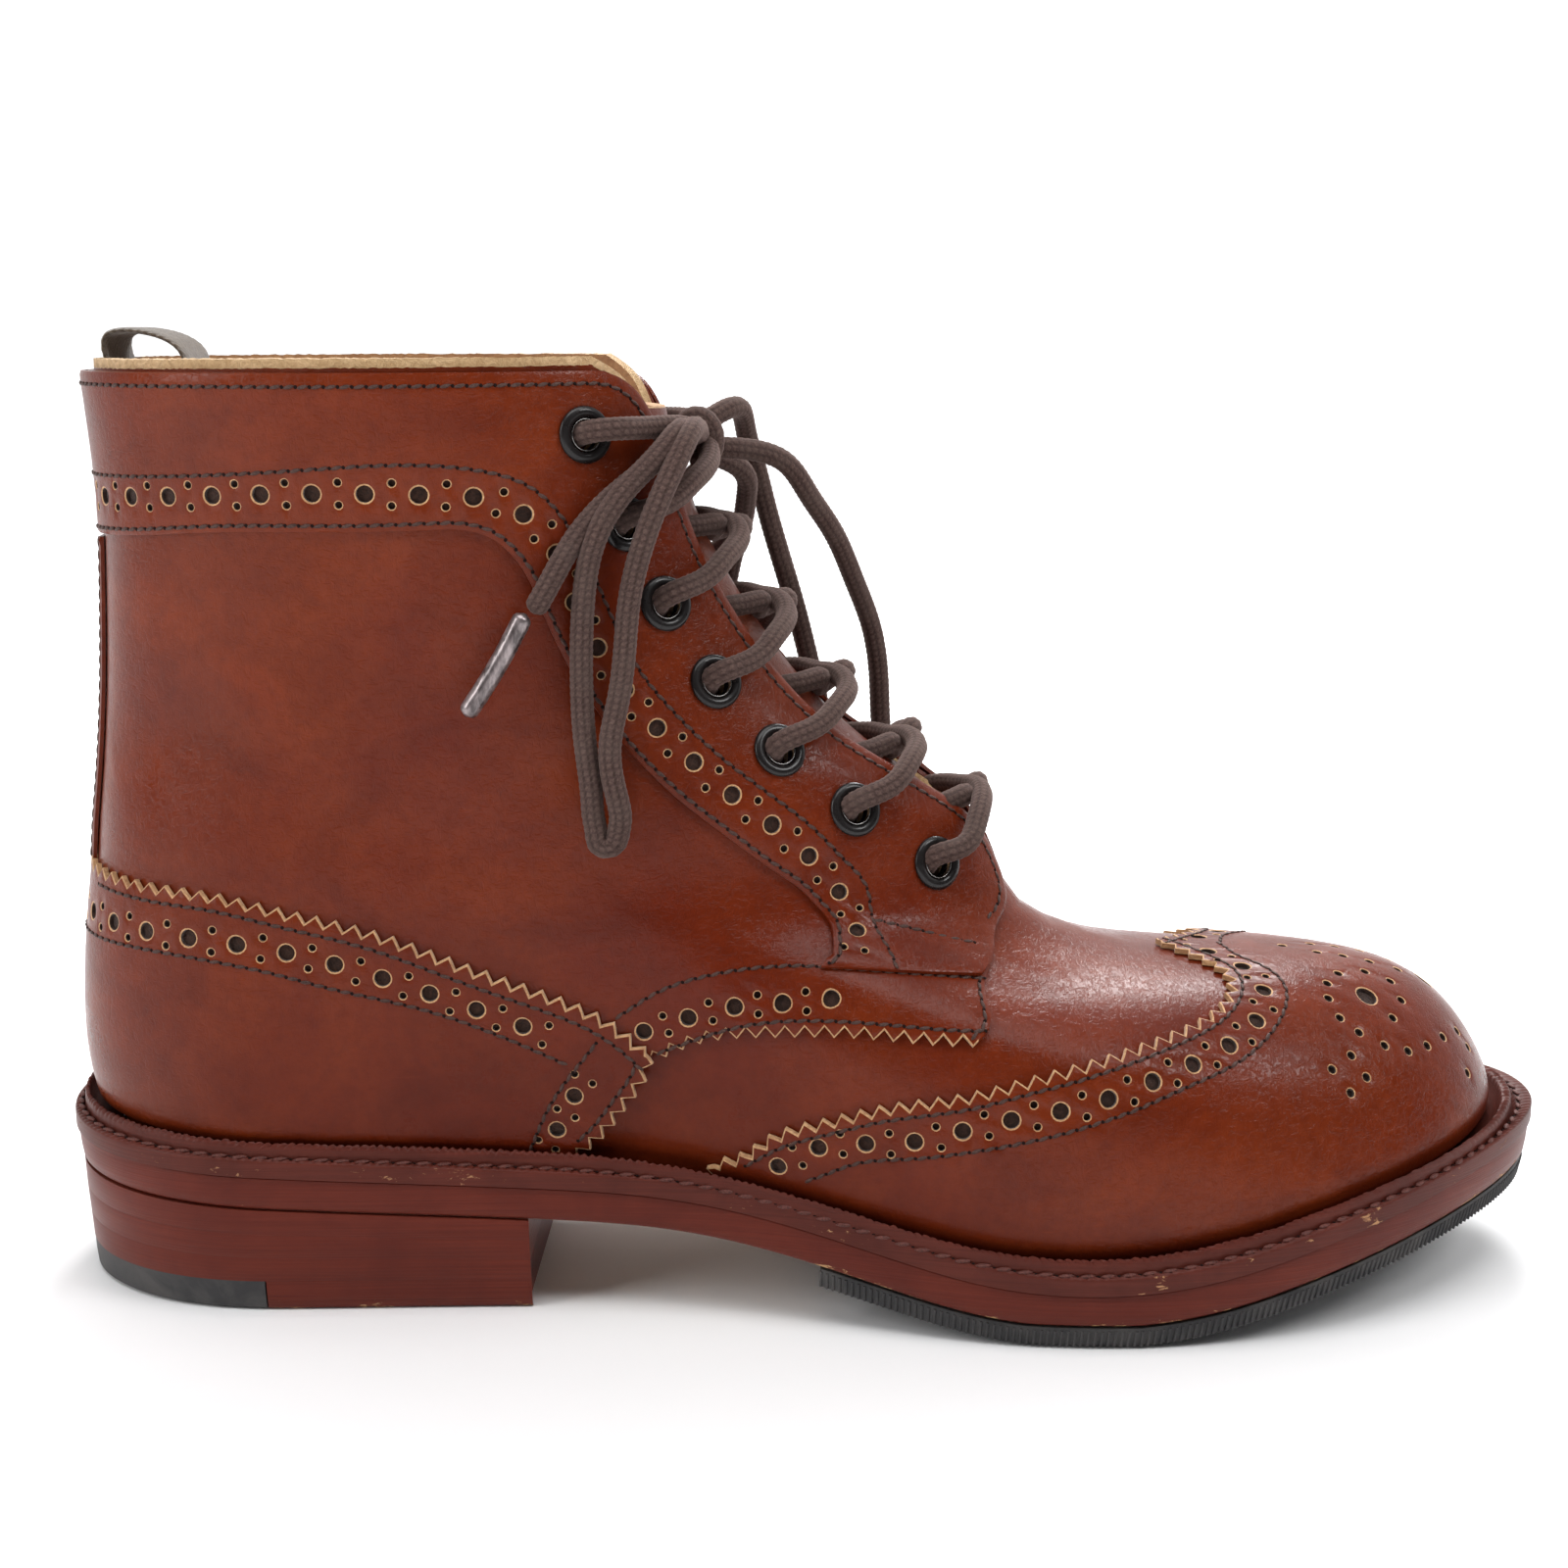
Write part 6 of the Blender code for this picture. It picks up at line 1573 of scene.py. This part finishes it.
lanes = np.linspace(-1, 1, 49)
grid_i, grid_j = np.meshgrid(np.arange(240), np.arange(49), indexing='ij')
twill = 0.5 + 0.5 * np.cos((grid_i * 0.9 + np.where((grid_j // 8) % 2, 1, -1) * grid_j * 1.6))
edge_round = np.sqrt(np.clip(1 - np.abs(lanes) ** 10, 0.05, 1))
verts = []
for face_side in (1, -1):
    out = face_side * (WEB / 2 * edge_round[None, :] - 0.00010 * twill)
    p = line[:, None, :] + across_line[:, None, :] * out[..., None]
    verts.append(np.stack([at[0] + p[..., 0], at[1] + LOOP_HALF * lanes[None, :] + 0 * p[..., 0],
                           at[2] + p[..., 1]], -1).reshape(-1, 3))
verts = np.vstack(verts)
faces = []
cols, count = 49, 240 * 49
for i in range(239):
    for j in range(48):
        a, b, c, d = i * cols + j, i * cols + j + 1, (i + 1) * cols + j + 1, (i + 1) * cols + j
        faces += [(a, d, c, b), (a + count, b + count, c + count, d + count)]
    for j in (0, 48):
        quad = (i * cols + j, (i + 1) * cols + j, (i + 1) * cols + j + count, i * cols + j + count)
        faces.append(quad[::-1] if j == 0 else quad)
for j in range(48):
    for i in (0, 239):
        quad = (i * cols + j, i * cols + j + 1, i * cols + j + 1 + count, i * cols + j + count)
        faces.append(quad if i == 0 else quad[::-1])
WEBBING, web_tree, web_shader = new_material('olive_webbing', (0.085, 0.062, 0.042), 0.9,
                                             Specular_IOR_Level=0.15, Sheen_Weight=0.4)
web_place = node(web_tree, 'ShaderNodeTexCoord').outputs['Object']
yarn = noise(web_tree, web_place, 1500.0, 3.0, 0.7)
web_tree.links.new(blend(web_tree, between(web_tree, yarn, 0.3, 0.7), (0.040, 0.028, 0.020),
                         (0.135, 0.103, 0.072)), web_shader.inputs['Base Color'])
web_tree.links.new(bump(web_tree, yarn, 0.00014), web_shader.inputs['Normal'])
pull = finish_mesh('pull_loop_webbing', verts, faces, [WEBBING], None, 60)
check = bmesh.new()
check.from_mesh(pull.data)
if check.calc_volume(signed=True) < 0:
    bmesh.ops.reverse_faces(check, faces=check.faces)
    check.to_mesh(pull.data)
check.free()
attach(pull, 'root')
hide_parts('pull_loop')

# Studio: a plain pale floor, four soft lights in a white room, and the camera on the lateral
# side, a little above the boot and level with its middle.
floor_mat, floor_tree, floor_shader = new_material('studio_floor', (0.93, 0.93, 0.94), 0.6,
                                                   Specular_IOR_Level=0.2)
floor_place = node(floor_tree, 'ShaderNodeTexCoord').outputs['Object']
floor_cloud = noise(floor_tree, floor_place, 3.0, 2.0)
floor_tree.links.new(blend(floor_tree, floor_cloud, (0.90, 0.90, 0.91), (0.95, 0.95, 0.955)),
                     floor_shader.inputs['Base Color'])
floor_shader.inputs['Emission Color'].default_value = (1.0, 1.0, 1.0, 1.0)
away = node(floor_tree, 'ShaderNodeVectorMath', {0: floor_place}, operation='LENGTH').outputs['Value']
glow = between(floor_tree, away, 0.30, 1.30, 0.0, 0.75)
floor_tree.links.new(glow, floor_shader.inputs['Emission Strength'])
bpy.ops.mesh.primitive_plane_add(size=14.0, location=(0, 0, -0.0002))
floor = bpy.context.object
floor.name = 'studio_floor'
floor.data.materials.append(floor_mat)

world = bpy.data.worlds.new('studio')
bpy.context.scene.world = world
world.use_nodes = True
world.node_tree.nodes['Background'].inputs['Color'].default_value = (1.0, 1.0, 1.0, 1.0)
sky = world.node_tree
seen = node(sky, 'ShaderNodeLightPath').outputs['Is Camera Ray']
toward = node(sky, 'ShaderNodeTexCoord').outputs['Generated']
ahead = node(sky, 'ShaderNodeSeparateXYZ', {0: toward}).outputs['Y']
white_wall = between(sky, ahead, -0.15, 0.45, 0.10, 1.15)
glow = node(sky, 'ShaderNodeMath', {0: seen, 1: white_wall}, operation='MAXIMUM').outputs[0]
sky.links.new(glow, sky.nodes['Background'].inputs['Strength'])


def soft_light(name, place, aim, width, height, watts):
    lamp = bpy.data.lights.new(name, 'AREA')
    lamp.shape = 'RECTANGLE'
    lamp.size, lamp.size_y, lamp.energy = width, height, watts
    obj = bpy.data.objects.new(name, lamp)
    obj.location = place
    obj.rotation_euler = (Vector(aim) - Vector(place)).to_track_quat('-Z', 'Y').to_euler()
    bpy.context.scene.collection.objects.link(obj)
    return obj


soft_light('light_top', (0.05, -0.30, 1.15), (0.0, 0.0, 0.05), 0.9, 0.7, 8.0)
soft_light('light_left', (-0.95, -0.55, 0.60), (-0.05, 0.0, 0.08), 0.40, 0.8, 6.0)
soft_light('light_right', (0.80, -0.42, 0.95), (0.05, 0.0, 0.08), 0.35, 0.35, 4.0)
soft_light('light_back', (0.14, 0.80, 0.88), (0.06, 0.0, 0.06), 0.6, 0.35, 13.0)

CAMERA_PLACE = (0.1488 - SOLE_LENGTH / 2, -0.4584 - ORIGIN[1], 0.1929)
lens = bpy.data.cameras.new('camera')
lens.lens = 51.84
lens.sensor_width = 36.0
lens.clip_start = 0.01
camera = bpy.data.objects.new('camera', lens)
camera.location = CAMERA_PLACE
camera.rotation_euler = (math.radians(78.6), 0.0, 0.0)
bpy.context.scene.collection.objects.link(camera)
bpy.context.scene.camera = camera
bpy.context.scene.view_settings.view_transform = 'Standard'
